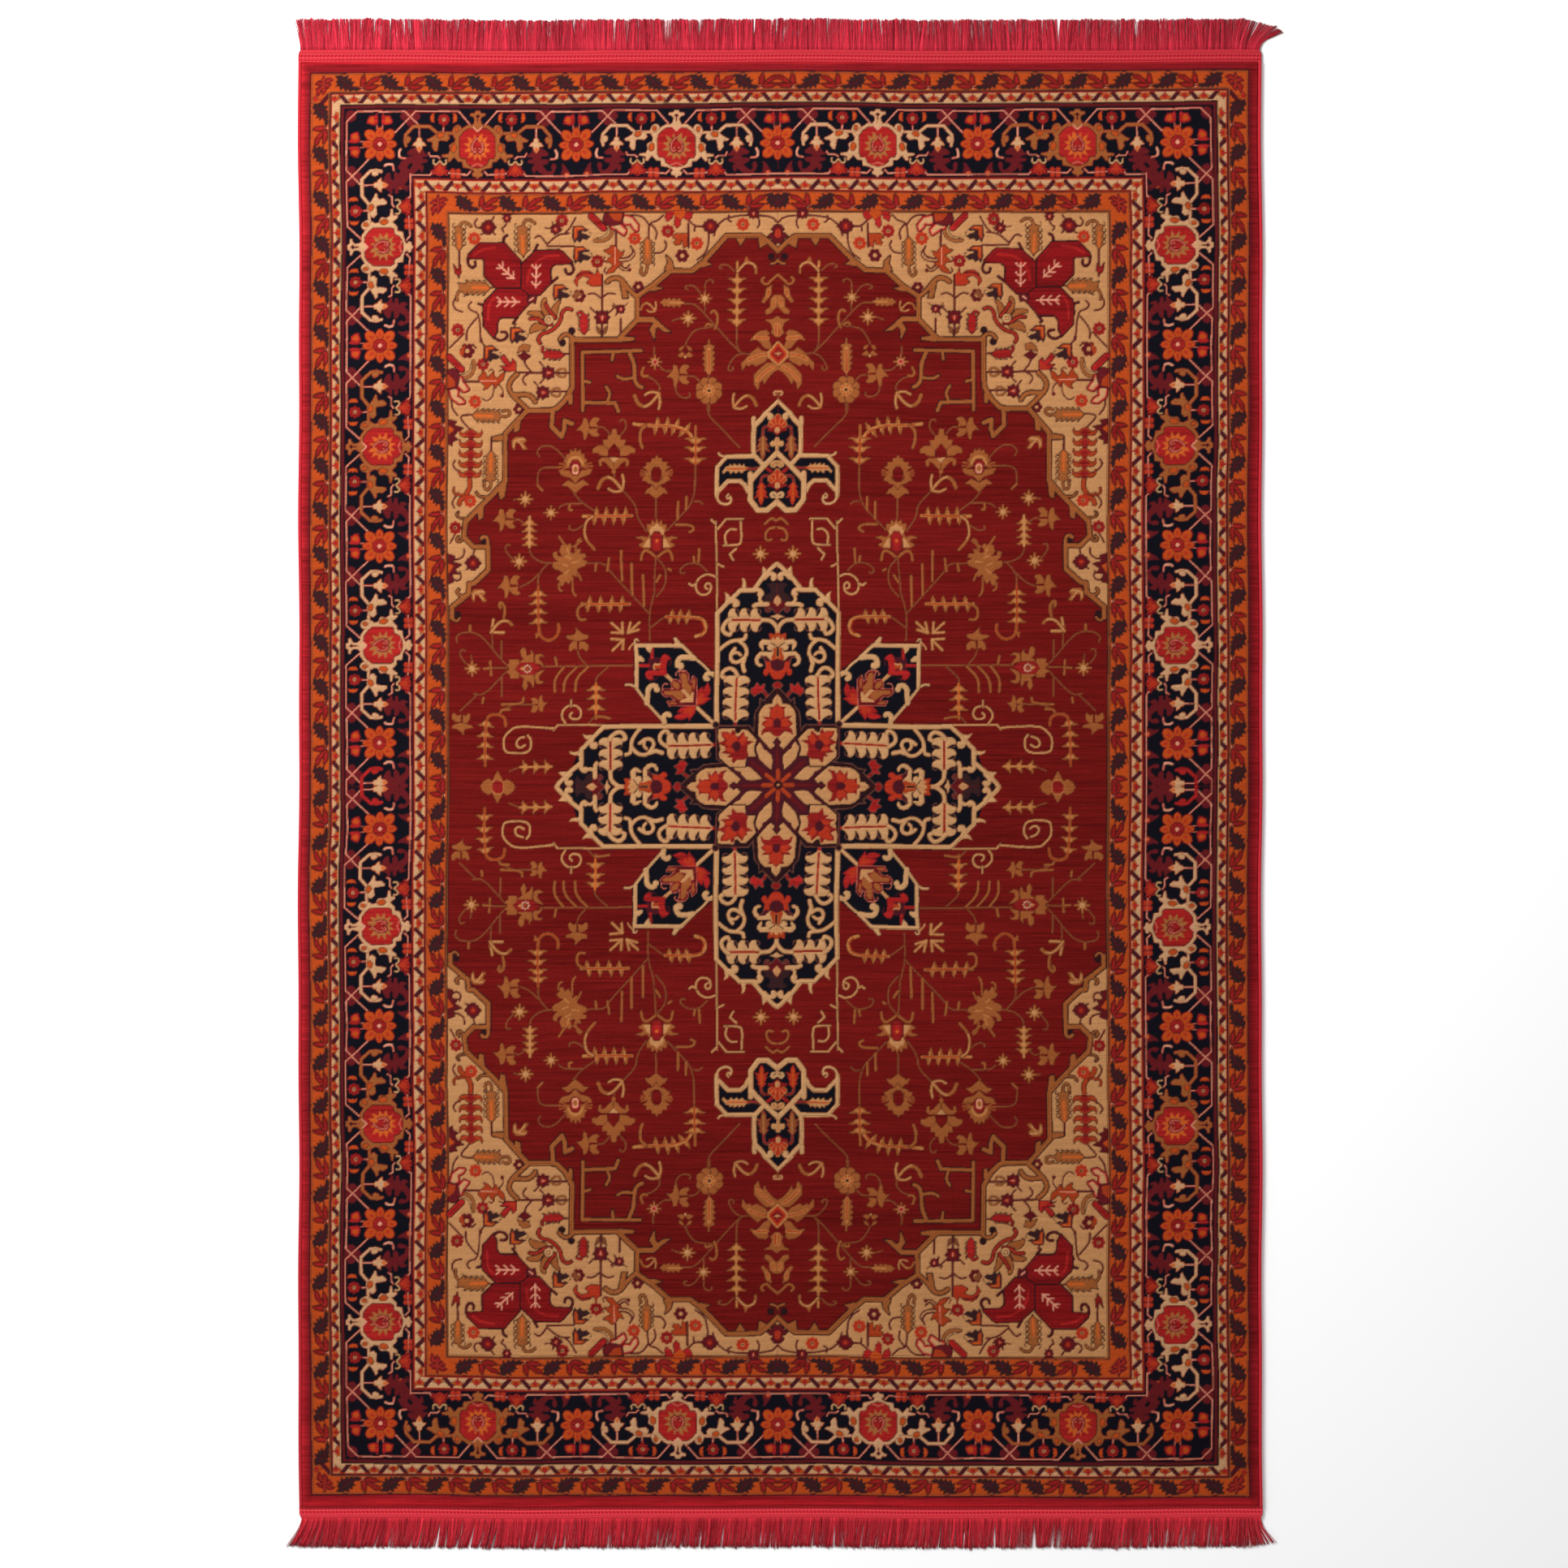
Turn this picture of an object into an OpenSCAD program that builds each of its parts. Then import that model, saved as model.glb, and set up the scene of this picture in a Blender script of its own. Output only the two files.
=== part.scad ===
// Machine-woven area rug: medallion field, corner pieces, nested borders and a
// fringed tape sewn over each short end. Origin: middle of the underside.
// +X is the width, +Y the length (the far end), +Z is up out of the pile.

/* [Rug] */
// Width of the rug over its two bound edges
body_w = 1980; // [1200:10:3000]
// Length of the rug over its two end tapes, without the fringe
body_l = 3020; // [2000:10:4500]
// Spacing of the knots, the unit that the whole design is drawn in
knot = 1.6667; // [1:0.0001:1.66671]
// Shift of the woven design towards +X from the middle of the rug
design_x = -5; // [-8:0.5:8]
// Shift of the woven design towards +Y from the middle of the rug
design_y = 3; // [-8:0.5:8]

/* [Layers] */
// Thickness of the coating on the back
coating_t = 0.8; // [0.4:0.1:1.5]
// Thickness of the ground weave that holds the pile
weave_t = 2.2; // [1:0.1:4]
// Height of the cut pile above the ground weave
pile_h = 8; // [5:0.5:14]

/* [Edges] */
// Width of the overcast binding on each long side
binding_w = 8; // [5:0.5:12]
// Height of the overcast binding
binding_h = 9; // [8.5:0.5:10.5]
// Width of the woven tape that holds each fringe
tape_w = 26; // [18:1:35]
// Thickness of that tape
tape_t = 2.5; // [1:0.1:3.5]
// Width of one row of stitching
stitch_w = 1.2; // [0.6:0.1:2]
// Height that the stitching stands above the tape
stitch_h = 0.5; // [0.2:0.1:1]
// Distance from each edge of the tape to its row of stitching
stitch_inset = 5; // [3:0.5:8]

/* [Fringe] */
// Length of the fringe
fringe_l = 60; // [20:1:100]
// Thickness of the fringe where it lies flat
fringe_t = 2.4; // [1:0.1:3]
// How far the fringe fans out past each bound edge
fringe_flare = 24; // [0:1:30]
// Clearance between the tape and the first of the loose fringe
fringe_gap = 0.3; // [0.2:0.1:1]

/* [Hidden] */

// Yarn colours
red = [0.42, 0.06, 0.06];
maroon = [0.25, 0.06, 0.08];
navy = [0.06, 0.06, 0.10];
cream = [0.80, 0.58, 0.39];
orange = [0.66, 0.24, 0.10];
crimson = [0.74, 0.16, 0.22];
jute = [0.60, 0.52, 0.40];

weave_z = coating_t;
pile_z = coating_t + weave_t;
pile_w = body_w - 2 * binding_w;
pile_l = body_l - 2 * tape_w;
tape_y = pile_l / 2;
stitch_z = pile_z + tape_t;

// Half sizes of the nested bands in knots, [across, along], each band's outer edge
guard_outer_orange = [579, 877];
guard_outer_cream = [554, 851];
stripe_maroon = [541, 838];
border_navy = [535, 831];
guard_inner_cream = [453, 748];
guard_inner_orange = [435, 731];
field = [407, 704];

// One quarter of each outline, in knots from the middle of the design
corner_edge = [
    [0, 654], [21, 675], [65, 675], [92, 646], [104, 634], [132, 634], [150, 616],
    [172, 600], [173, 573], [196, 550], [253, 550], [253, 487], [278, 466],
    [306, 466], [335, 433], [335, 376], [383, 328], [385, 309], [372, 297],
    [358, 293], [358, 268], [382, 247], [384, 234], [407, 214]
];
medallion_edge = [
    [0, 276], [22, 257], [28, 244], [48, 244], [76, 216], [76, 140], [118, 176],
    [176, 176], [176, 124], [138, 78], [214, 78], [246, 40], [252, 24], [275, 0]
];
star_edge = [
    [0, 118], [25, 95], [27, 60], [38, 75], [77, 76], [76, 38], [62, 24],
    [95, 24], [119, 0]
];
pendant_edge = [
    [0, 476], [28, 448], [31, 408], [62, 408], [76, 392], [76, 352], [66, 346],
    [70, 364], [58, 377], [44, 377], [36, 366], [36, 350], [24, 335], [10, 335],
    [0, 344]
];

function reversed(points) = [for (i = [len(points) - 1 : -1 : 0]) points[i]];
function flipped(points, sx, sy) = [for (p = points) [p.x * sx, p.y * sy]];

// A quarter outline that runs from the long axis to the cross axis, made whole
function whole(quarter) = concat(
    quarter,
    reversed(flipped(quarter, 1, -1)),
    flipped(quarter, -1, -1),
    reversed(flipped(quarter, -1, 1))
);

// A half outline that starts and ends on the long axis, made whole
function both_sides(half) = concat(half, reversed(flipped(half, -1, 1)));

// Rectangle [low corner, high corner] of a band's outer edge, in millimetres
function band(half) = [
    [design_x - half.x * knot, design_y - half.y * knot],
    [design_x + half.x * knot, design_y + half.y * knot]
];
pile_edge = [[-pile_w / 2, -pile_l / 2], [pile_w / 2, pile_l / 2]];

module pile() {
    translate([0, 0, pile_z])
        linear_extrude(pile_h)
            children();
}

// Draws its child in knots about the middle of the design
module design() {
    translate([design_x, design_y])
        scale(knot)
            children();
}

// Four mitred lengths of pile between two rectangles
module pile_frame(outer, inner) {
    far = [[outer[0].x, outer[1].y], outer[1], inner[1], [inner[0].x, inner[1].y]];
    near = [outer[0], [outer[1].x, outer[0].y], [inner[1].x, inner[0].y], inner[0]];
    left = [outer[0], inner[0], [inner[0].x, inner[1].y], [outer[0].x, outer[1].y]];
    right = [[outer[1].x, outer[0].y], outer[1], inner[1], [inner[1].x, inner[0].y]];
    for (side = [far, near, left, right])
        pile() polygon(side);
}

// Plate that is full width under the tapes and stops at the binding between them
module ground_plate(t) {
    translate([-pile_w / 2, -tape_y, 0])
        cube([pile_w, 2 * tape_y, t]);
    for (end = [-1, 1])
        translate([-body_w / 2, end > 0 ? tape_y : -body_l / 2, 0])
            cube([body_w, tape_w, t]);
}

module corner_outline() {
    polygon(concat(corner_edge, [[field.x, field.y], [0, field.y]]));
}

module pendant_outline() {
    polygon(both_sides(pendant_edge));
}

// Pile of one corner; sx and sy pick the quarter
module corner_pile(sx, sy) {
    color(cream) pile() design() scale([sx, sy]) corner_outline();
}

module pendant_pile(sy) {
    color(navy) pile() design() scale([1, sy]) pendant_outline();
}

module binding(side) {
    r = binding_w / 2;
    color(crimson)
        translate([side * (body_w / 2 - r), tape_y, 0])
            rotate([90, 0, 0])
                linear_extrude(2 * tape_y) {
                    translate([0, r]) circle(r, $fn = 32);
                    translate([0, binding_h - r]) circle(r, $fn = 32);
                    translate([-r, r]) square([binding_w, binding_h - 2 * r]);
                }
}

module fringe_tape(end) {
    color(crimson)
        translate([-body_w / 2, end > 0 ? tape_y : -body_l / 2, pile_z])
            cube([body_w, tape_w, tape_t]);
}

// Two rows of thread that hold the tape to the weave
module tape_stitching(end) {
    for (inset = [stitch_inset, tape_w - stitch_inset])
        color(crimson)
            translate([0, end * (tape_y + inset), stitch_z + stitch_h / 2])
                cube([body_w - 2 * stitch_inset, stitch_w, stitch_h], center = true);
}

module fringe(end) {
    root = body_l / 2 + fringe_gap;
    tip = body_l / 2 + fringe_l;
    tip_x = body_w / 2 + fringe_flare;
    color(crimson)
        linear_extrude(fringe_t)
            polygon([
                [-body_w / 2, end * root], [body_w / 2, end * root],
                [tip_x, end * tip], [-tip_x, end * tip]
            ]);
}

module back_coating() {
    color(jute) ground_plate(coating_t);
}

module ground_weave() {
    color(maroon) translate([0, 0, weave_z]) ground_plate(weave_t);
}

module pile_margin() {
    color(red) pile_frame(pile_edge, band(guard_outer_orange));
}

module pile_guard_outer_orange() {
    color(orange) pile_frame(band(guard_outer_orange), band(guard_outer_cream));
}

module pile_guard_outer_cream() {
    color(cream) pile_frame(band(guard_outer_cream), band(stripe_maroon));
}

module pile_stripe_maroon() {
    color(maroon) pile_frame(band(stripe_maroon), band(border_navy));
}

module pile_border_navy() {
    color(navy) pile_frame(band(border_navy), band(guard_inner_cream));
}

module pile_guard_inner_cream() {
    color(cream) pile_frame(band(guard_inner_cream), band(guard_inner_orange));
}

module pile_guard_inner_orange() {
    color(orange) pile_frame(band(guard_inner_orange), band(field));
}

module pile_corner_far_left() { corner_pile(-1, 1); }

module pile_corner_far_right() { corner_pile(1, 1); }

module pile_corner_near_left() { corner_pile(-1, -1); }

module pile_corner_near_right() { corner_pile(1, -1); }

module pile_field_red() {
    color(red) pile() design() difference() {
        square([2 * field.x, 2 * field.y], center = true);
        for (sx = [-1, 1], sy = [-1, 1])
            scale([sx, sy]) corner_outline();
        for (sy = [-1, 1])
            scale([1, sy]) pendant_outline();
        polygon(whole(medallion_edge));
    }
}

module pile_medallion() {
    color(navy) pile() design() difference() {
        polygon(whole(medallion_edge));
        polygon(whole(star_edge));
    }
}

module pile_star() {
    color(maroon) pile() design() polygon(whole(star_edge));
}

module pile_pendant_far() { pendant_pile(1); }

module pile_pendant_near() { pendant_pile(-1); }

module binding_left() { binding(-1); }

module binding_right() { binding(1); }

module fringe_tape_far() { fringe_tape(1); }

module fringe_tape_near() { fringe_tape(-1); }

module tape_stitching_far() { tape_stitching(1); }

module tape_stitching_near() { tape_stitching(-1); }

module fringe_far() { fringe(1); }

module fringe_near() { fringe(-1); }

back_coating();
ground_weave();
pile_margin();
pile_guard_outer_orange();
pile_guard_outer_cream();
pile_stripe_maroon();
pile_border_navy();
pile_guard_inner_cream();
pile_guard_inner_orange();
pile_corner_far_left();
pile_corner_far_right();
pile_corner_near_left();
pile_corner_near_right();
pile_field_red();
pile_medallion();
pile_star();
pile_pendant_far();
pile_pendant_near();
binding_left();
binding_right();
fringe_tape_far();
fringe_tape_near();
tape_stitching_far();
tape_stitching_near();
fringe_far();
fringe_near();
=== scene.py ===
"""Area rug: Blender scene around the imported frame, in metres.

A quarter of the design is drawn in code with coloured yarns, mirrored over the
rug, and tufted into closed pile pieces, one for each pile node of the frame.
"""
import math

import bpy
import numpy as np
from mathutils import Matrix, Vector
from mathutils.geometry import tessellate_polygon


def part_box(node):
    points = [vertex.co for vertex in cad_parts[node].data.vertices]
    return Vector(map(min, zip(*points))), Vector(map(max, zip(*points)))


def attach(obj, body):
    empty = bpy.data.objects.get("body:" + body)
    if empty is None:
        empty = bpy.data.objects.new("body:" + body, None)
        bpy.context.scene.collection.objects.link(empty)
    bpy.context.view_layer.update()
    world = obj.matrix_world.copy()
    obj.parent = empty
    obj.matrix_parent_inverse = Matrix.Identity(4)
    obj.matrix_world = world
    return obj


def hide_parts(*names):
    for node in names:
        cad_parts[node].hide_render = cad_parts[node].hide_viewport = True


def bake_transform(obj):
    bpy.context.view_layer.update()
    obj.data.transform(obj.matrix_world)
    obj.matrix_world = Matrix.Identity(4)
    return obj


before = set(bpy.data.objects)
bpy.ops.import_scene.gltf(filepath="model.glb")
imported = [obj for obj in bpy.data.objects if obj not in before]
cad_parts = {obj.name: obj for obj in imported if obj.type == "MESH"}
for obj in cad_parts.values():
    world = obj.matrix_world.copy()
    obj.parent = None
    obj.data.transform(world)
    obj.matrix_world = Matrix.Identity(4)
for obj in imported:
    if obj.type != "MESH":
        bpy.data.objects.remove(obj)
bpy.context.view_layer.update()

MM = 0.001

# One quarter of each outline of the design, in knots from its middle
CORNER_EDGE = [
    (0, 654), (21, 675), (65, 675), (92, 646), (104, 634), (132, 634), (150, 616),
    (172, 600), (173, 573), (196, 550), (253, 550), (253, 487), (278, 466),
    (306, 466), (335, 433), (335, 376), (383, 328), (385, 309), (372, 297),
    (358, 293), (358, 268), (382, 247), (384, 234), (407, 214),
]
MEDALLION_EDGE = [
    (0, 276), (22, 257), (28, 244), (48, 244), (76, 216), (76, 140), (118, 176),
    (176, 176), (176, 124), (138, 78), (214, 78), (246, 40), (252, 24), (275, 0), (275, -1), (-1, -1),
]
STAR_EDGE = [
    (-1, 118), (0, 118), (25, 95), (27, 60), (38, 75), (77, 76), (76, 38), (62, 24),
    (95, 24), (119, 0), (119, -1),
]
PENDANT_EDGE = [
    (-1, 476), (0, 476), (28, 448), (31, 408), (62, 408), (76, 392), (76, 356), (74, 356),
    (70, 364), (58, 377), (44, 377), (36, 366), (36, 350), (24, 335), (10, 335),
    (0, 344), (-1, 344),
]


# ---------------------------------------------------------------- the yarns
# Each colour of yarn in the rug, as display red, green and blue from 0 to 255
YARNS = {
    "field": (112, 21, 19), "navy": (19, 17, 25), "cream": (197, 139, 90),
    "ivory": (203, 151, 103), "sand": (196, 136, 86), "tan": (158, 88, 45),
    "umber": (132, 72, 42), "dark": (46, 22, 24), "ink": (38, 22, 26),
    "maroon": (76, 24, 32), "wine": (96, 24, 28), "claret": (102, 27, 31),
    "red": (166, 34, 32), "brick": (140, 30, 28), "scarlet": (178, 52, 30),
    "orange": (188, 74, 28), "amber": (206, 96, 40), "rust": (168, 60, 28),
    "pink": (206, 106, 86), "blush": (226, 150, 122), "gold": (190, 122, 68),
    "margin": (132, 26, 28), "leaf": (56, 31, 32), "moss": (72, 50, 36),
    "corner_red": (134, 22, 24), "bronze": (168, 104, 56), "bark": (80, 28, 24), "stalk": (138, 74, 42),
    "bone": (204, 154, 112), "twig": (92, 34, 32), "dusk": (112, 66, 54),
}
NAMES = list(YARNS)


class Loom:
    """A quarter of the design as a grid of yarn numbers, two cells to a knot."""

    CELLS = 2

    def __init__(self, across, along, yarn):
        self.grid = np.full((along * self.CELLS, across * self.CELLS), NAMES.index(yarn), np.uint8)

    def window(self, points, spare=0.0):
        """Rows and columns of the cells that a set of points may touch."""
        high = np.array(self.grid.shape[::-1])
        low = np.clip(np.floor((points.min(0) - spare) * self.CELLS), 0, high).astype(int)
        top = np.clip(np.ceil((points.max(0) + spare) * self.CELLS) + 1, 0, high).astype(int)
        if (top <= low).any():
            return None
        x = (np.arange(low[0], top[0]) + 0.5)[None, :] / self.CELLS
        y = (np.arange(low[1], top[1]) + 0.5)[:, None] / self.CELLS
        return (slice(low[1], top[1]), slice(low[0], top[0])), x, y

    def fill(self, points, yarn):
        """Fill a closed outline with one yarn."""
        found = self.window(points)
        if found is None:
            return
        cells, x, y = found
        inside = np.zeros((y.size, x.size), bool)
        for (x1, y1), (x2, y2) in zip(points, np.roll(points, -1, 0)):
            if y1 == y2:
                continue
            crossing = x < (x2 - x1) * (y - y1) / (y2 - y1) + x1
            inside ^= ((y1 > y) != (y2 > y)) & crossing
        self.grid[cells][inside] = NAMES.index(yarn)

    def stroke(self, points, width, yarn):
        """Draw a line with round ends through points."""
        for start, end in zip(points[:-1], points[1:]):
            found = self.window(np.array([start, end]), width)
            if found is None:
                continue
            cells, x, y = found
            run = end - start
            size = max(run @ run, 1e-9)
            near = np.clip(((x - start[0]) * run[0] + (y - start[1]) * run[1]) / size, 0, 1)
            gap = (x - start[0] - near * run[0]) ** 2 + (y - start[1] - near * run[1]) ** 2
            self.grid[cells][gap <= (width / 2) ** 2] = NAMES.index(yarn)


def rounded(points, closed, passes=2):
    """Corner cutting: turns a few points into a smooth outline or line."""
    points = np.asarray(points, float)
    for _ in range(passes):
        ahead = np.roll(points, -1, 0) if closed else points[1:]
        here = points if closed else points[:-1]
        cut = np.stack([0.75 * here + 0.25 * ahead, 0.25 * here + 0.75 * ahead], 1).reshape(-1, 2)
        points = cut if closed else np.vstack([points[:1], cut, points[-1:]])
    return points


class Pen:
    """Draws on a loom in its own moved, turned, flipped or scaled knots."""

    def __init__(self, loom, matrix=np.eye(2), origin=(0.0, 0.0)):
        self.loom = loom
        self.matrix = np.asarray(matrix, float)
        self.origin = np.asarray(origin, float)
        self.size = abs(np.linalg.det(self.matrix)) ** 0.5

    def at(self, x, y, turn=0.0, flip=1, size=1.0):
        """A pen moved to a place, then turned, flipped and scaled."""
        c, s = math.cos(math.radians(turn)), math.sin(math.radians(turn))
        step = np.array([[c, -s], [s, c]]) @ np.diag([size, size * flip])
        return Pen(self.loom, self.matrix @ step, self.place([(x, y)])[0])

    def place(self, points):
        """The pen's own places as places on the loom."""
        return np.asarray(points, float) @ self.matrix.T + self.origin

    def line(self, points, width, yarn, soft=True):
        """A line through points, with its corners cut off if soft."""
        path = rounded(points, False) if soft and len(points) > 2 else points
        self.loom.stroke(self.place(path), width * self.size, yarn)

    def cased(self, points, width, yarn, edge, edge_w=1.3, soft=True):
        """A line with an edge line along both of its sides."""
        self.line(points, width + 2 * edge_w, edge, soft)
        self.line(points, width, yarn, soft)

    def shape(self, points, yarn, edge=None, edge_w=1.1, soft=False):
        """A filled outline with an edge line round it."""
        path = rounded(points, True) if soft else np.asarray(points, float)
        if edge:
            self.loom.stroke(self.place(np.vstack([path, path[:1]])), 2 * edge_w * self.size, edge)
        self.loom.fill(self.place(path), yarn)

    def stem(self, points):
        """Pale trellis line with a dark red line along both of its sides."""
        self.cased(points, 1.1, "blush", "brick", 0.6, False)

    def disc(self, x, y, r, yarn, edge=None, edge_w=1.1, squash=1.0):
        """A round or squashed dot."""
        ring = [(x + r * math.cos(k * math.pi / 8), y + squash * r * math.sin(k * math.pi / 8))
                for k in range(16)]
        self.shape(ring, yarn, edge, edge_w)

    def pair(self):
        """This pen and its mirror image across the pen's own y axis."""
        return self, Pen(self.loom, self.matrix @ np.diag([-1, 1]), self.origin)


# ------------------------------------------------------ motifs used all over
def floret(pen, x, y, r, petal, eye="ivory", heart="dark"):
    """A small flower of eight round petals."""
    p = pen.at(x, y)
    for k in range(8):
        turn = k * math.pi / 4
        p.disc(0.7 * r * math.cos(turn), 0.7 * r * math.sin(turn), 0.32 * r, petal)
    p.disc(0, 0, 0.62 * r, petal)
    p.disc(0, 0, 0.28 * r, eye)
    p.disc(0, 0, 0.16 * r, heart)


def starlet(pen, x, y, r):
    """A star of eight round petals with a pale middle."""
    p = pen.at(x, y)
    for colour, more in (("bark", 1.2), ("tan", 0.0)):
        for k in range(8):
            reach = r * (0.92 if k % 2 == 0 else 0.72)
            p.at(0, 0, 45 * k).line([(0, 0), (reach, 0)], 0.25 * r + more, colour)
    for k in range(8):
        p.at(0, 0, 45 * k).line([(0, 0), (0.6 * r, 0)], 0.12 * r, "gold")
    p.disc(0, 0, 0.34 * r, "cream")


# --------------------------------------------------------------- the borders
# Outer edges of the nested bands in knots: across (from the middle) and along
EDGES = {
    "margin": (598, 898), "guard_outer_orange": (579, 877.5), "guard_outer_cream": (554.5, 853.5),
    "stripe": (541.5, 838.5), "border": (536.5, 833.5), "guard_inner_cream": (451, 746.5),
    "guard_inner_orange": (435.5, 730.5), "field": (407, 704),
}


def orange_flower(p):
    """Three-petalled flower that grows from a white dot at the pen's place."""
    petals = [
        [(-2, 3), (-4, 9), (-2.5, 17), (1, 12), (2, 4)],
        [(-3, 3), (-9, 9), (-14, 13), (-22, 14), (-20, 10.5), (-14, 8), (-9, 4), (-4, 0)],
        [(-3, 0), (-8, -1.5), (-15, 0), (-20, 3.5), (-13, 4), (-7, 3)],
    ]
    for petal in petals:
        p.shape(petal, "brick", "bark", 1.5)
    p.line([(-3, 2), (-12, 10)], 1.1, "red")
    p.line([(-1, 3), (-1.5, 11)], 1.1, "red")
    p.line([(-4, 1), (-13, 2)], 1.1, "red")
    p.disc(0, 0, 1.7, "blush")


def orange_leaf(p):
    """Serrated dark leaf that hangs between two flowers, with its stalk."""
    p.line([(-50, 0), (-56, 0.5)], 1.6, "maroon")
    p.line([(-22, 14), (-28, 17), (-36, 18.5)], 1.3, "maroon")
    p.shape([(-52.5, 0), (-50, 2.5), (-45.5, 2.5), (-42, 5), (-45.5, 8.5), (-41, 8.5), (-42, 12.5),
             (-37, 11.5), (-38, 16.5), (-32.5, 14.2), (-30, 17), (-27.5, 15.2), (-22.5, 16), (-25, 11),
             (-22.5, 8.5), (-25, 6.5), (-22, 2.8), (-26.5, 4), (-28, -1.8), (-31.2, 1.5), (-34.8, -3.2),
             (-36.5, 0.2), (-41, -4.5), (-43, -1), (-47.5, -2.8)], "leaf", "dark", 0.4)
    p.line([(-43, 2), (-34, 6), (-29, 12)], 2.0, "maroon")
    p.line([(-36, 4), (-30, 3)], 1.4, "maroon")


def orange_guard(p, first, step, limit):
    """Run of flowers and leaves; p has x along the band and y = 0 on its inner edge."""
    spot = first
    while spot < limit:
        q = p.at(spot, 4.5)
        orange_leaf(q)
        orange_flower(q)
        spot += step


def orange_corner(p):
    """Petals that turn the corner of an orange guard."""
    for petal in ([(-1, 1), (-2, 4), (-0.5, 10), (2, 5), (6, 3), (2, 0)],
                  [(1, 2), (6, 4), (9.5, 0), (4, -1)], [(-1, 1), (-5, 7), (-9, 7), (-12, 4.5), (-7, 3),
                                                        (-3, -2)],
                  [(-1, 0), (-5, 1), (-9.5, 0), (-5, -5), (-2, -4)],
                  [(-3, -3), (-3, -8), (0.6, -12), (2, -6), (1, -2)],
                  [(0, -2), (5, -3), (9, -6), (7, -14), (4, -10), (3, -6)]):
        p.shape(petal, "brick", "maroon", 1.1)
    for path in ([(0, 1), (-7, 4.5)], [(0, 1), (0, 7)], [(0, 0), (6, 0.5)], [(-1, -1), (-6, -1)],
                 [(0, -2), (0, -8)], [(1, -3), (6, -8)]):
        p.line(path, 1.1, "scarlet")


def cream_guard(p, first, step, limit, height):
    """Slanting bars with a flower between each two; x runs along the band."""
    spot = first
    while spot < limit:
        for x, lean in ((spot, 1), (spot + step / 2, -1)):
            q = p.at(x, 0)
            q.cased([(-4.5 * lean, 1.5), (4.5 * lean, height - 2)], 4.2, "maroon", "dark", 0.6, False)
        for x, up in ((spot + step * 0.25, -1), (spot + step * 0.75, 1)):
            q = p.at(x, height / 2 - 0.6 * up, 0, up)
            for w in q.pair():
                w.shape([(0.5, -3.6), (1.2, 0.8), (3.2, 2.6), (4.2, 0.5), (6.8, 0.9), (5.2, -1.5),
                         (6.2, -4.0), (3.3, -2.7)], "orange", "dark", 0.5)
            q.shape([(-2.6, 0.2), (0, 5.6), (2.6, 0.2), (0, -3.8)], "red", "dark", 0.4)
            q.disc(0, -3.2, 0.9, "amber")
        spot += step


def rosette(p):
    """Eight-petalled orange flower of the main border, about the pen's place."""
    for k in range(8):
        q = p.at(0, 0, 45 * k)
        if k % 2 == 0:
            petal = [(6, -2.5), (11, -4.6), (17, -4.0), (21.5, 0), (17, 4.0), (11, 4.6), (6, 2.5)]
        else:
            petal = [(6, -2.5), (11, -5.2), (18, -5.8), (23, -3), (23.5, 2), (18, 5.8), (11, 5.2), (6, 2.5)]
        q.shape(petal, "orange", "brick", 0.9, True)
        q.shape([(11, -1.6), (16, -2), (18, 0), (16, 2), (11, 1.6)], "scarlet", None, 0, True)
    p.disc(0, 0, 8.4, "brick", "maroon", 0.6)
    for k in range(8):
        p.at(0, 0, 22.5 + 45 * k).disc(6, 0, 1.3, "red")
    p.disc(0, 0, 2.4, "blush")


def tulips(p):
    """Pair of red tulips that stand over a rosette; p is at the rosette's middle."""
    for q in p.pair():
        q.line([(3.5, 19), (3.4, 25)], 1.3, "pink")
        q.shape([(2.4, 27), (2.6, 34), (4, 38), (6, 35), (12.5, 35), (15.2, 30), (15.4, 26), (8, 24),
                 (4, 24.5)], "red", "maroon", 0.9)
        q.shape([(6.5, 28), (7.5, 32.5), (9.5, 34), (13.6, 30), (12, 27), (9, 26)], "orange", "scarlet",
                0.6)


def lattice(p):
    """Pink trellis lines that cross on a maroon quatrefoil, from rosette to palmette."""
    for x, y in ((31, 34.5), (45, 34.5), (38, 41.5), (38, 27.5)):
        p.disc(x, y, 5.4, "claret")
    for path in ([(-1, 40), (31, 40.8), (38, 34.0), (49.5, 23)],
                 [(17, 12.5), (38, 34.0), (44.5, 41.4), (98.5, 41.4), (114, 24)]):
        p.stem(path)


def arc_and_bell(p, scroll):
    """Bent stem, the round leaf at its foot and the stalk of the bell flower."""
    p.cased([(32.5, -2), (31, 4), (32, 11.5), (42, 22.3), (62, 22.3), (72, 14)], 3.2, scroll, "brick", 0.5,
             False)
    p.shape([(31, 4), (33, 9), (36, 10), (38.5, 7), (37, 3), (34.5, 1)], scroll, "brick", 0.5, True)
    p.stem([(49, 20), (49, 8)])


def bell(p):
    """Pale three-pointed flower with an orange tip."""
    half = [(0, 8.5), (2.6, 6.5), (3, 3.2), (5.4, 2.2), (8.2, -1.4), (4.6, -1.4), (3.2, -3), (3, -5.5),
            (0, -9.8)]
    q = p.at(49, 0)
    q.shape(half + [(-x, y) for x, y in reversed(half[1:-1])], "bone", "orange", 0.7)
    q.shape([(0, -2.6), (2.4, -5), (0, -9.2), (-2.4, -5)], "amber")


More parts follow.
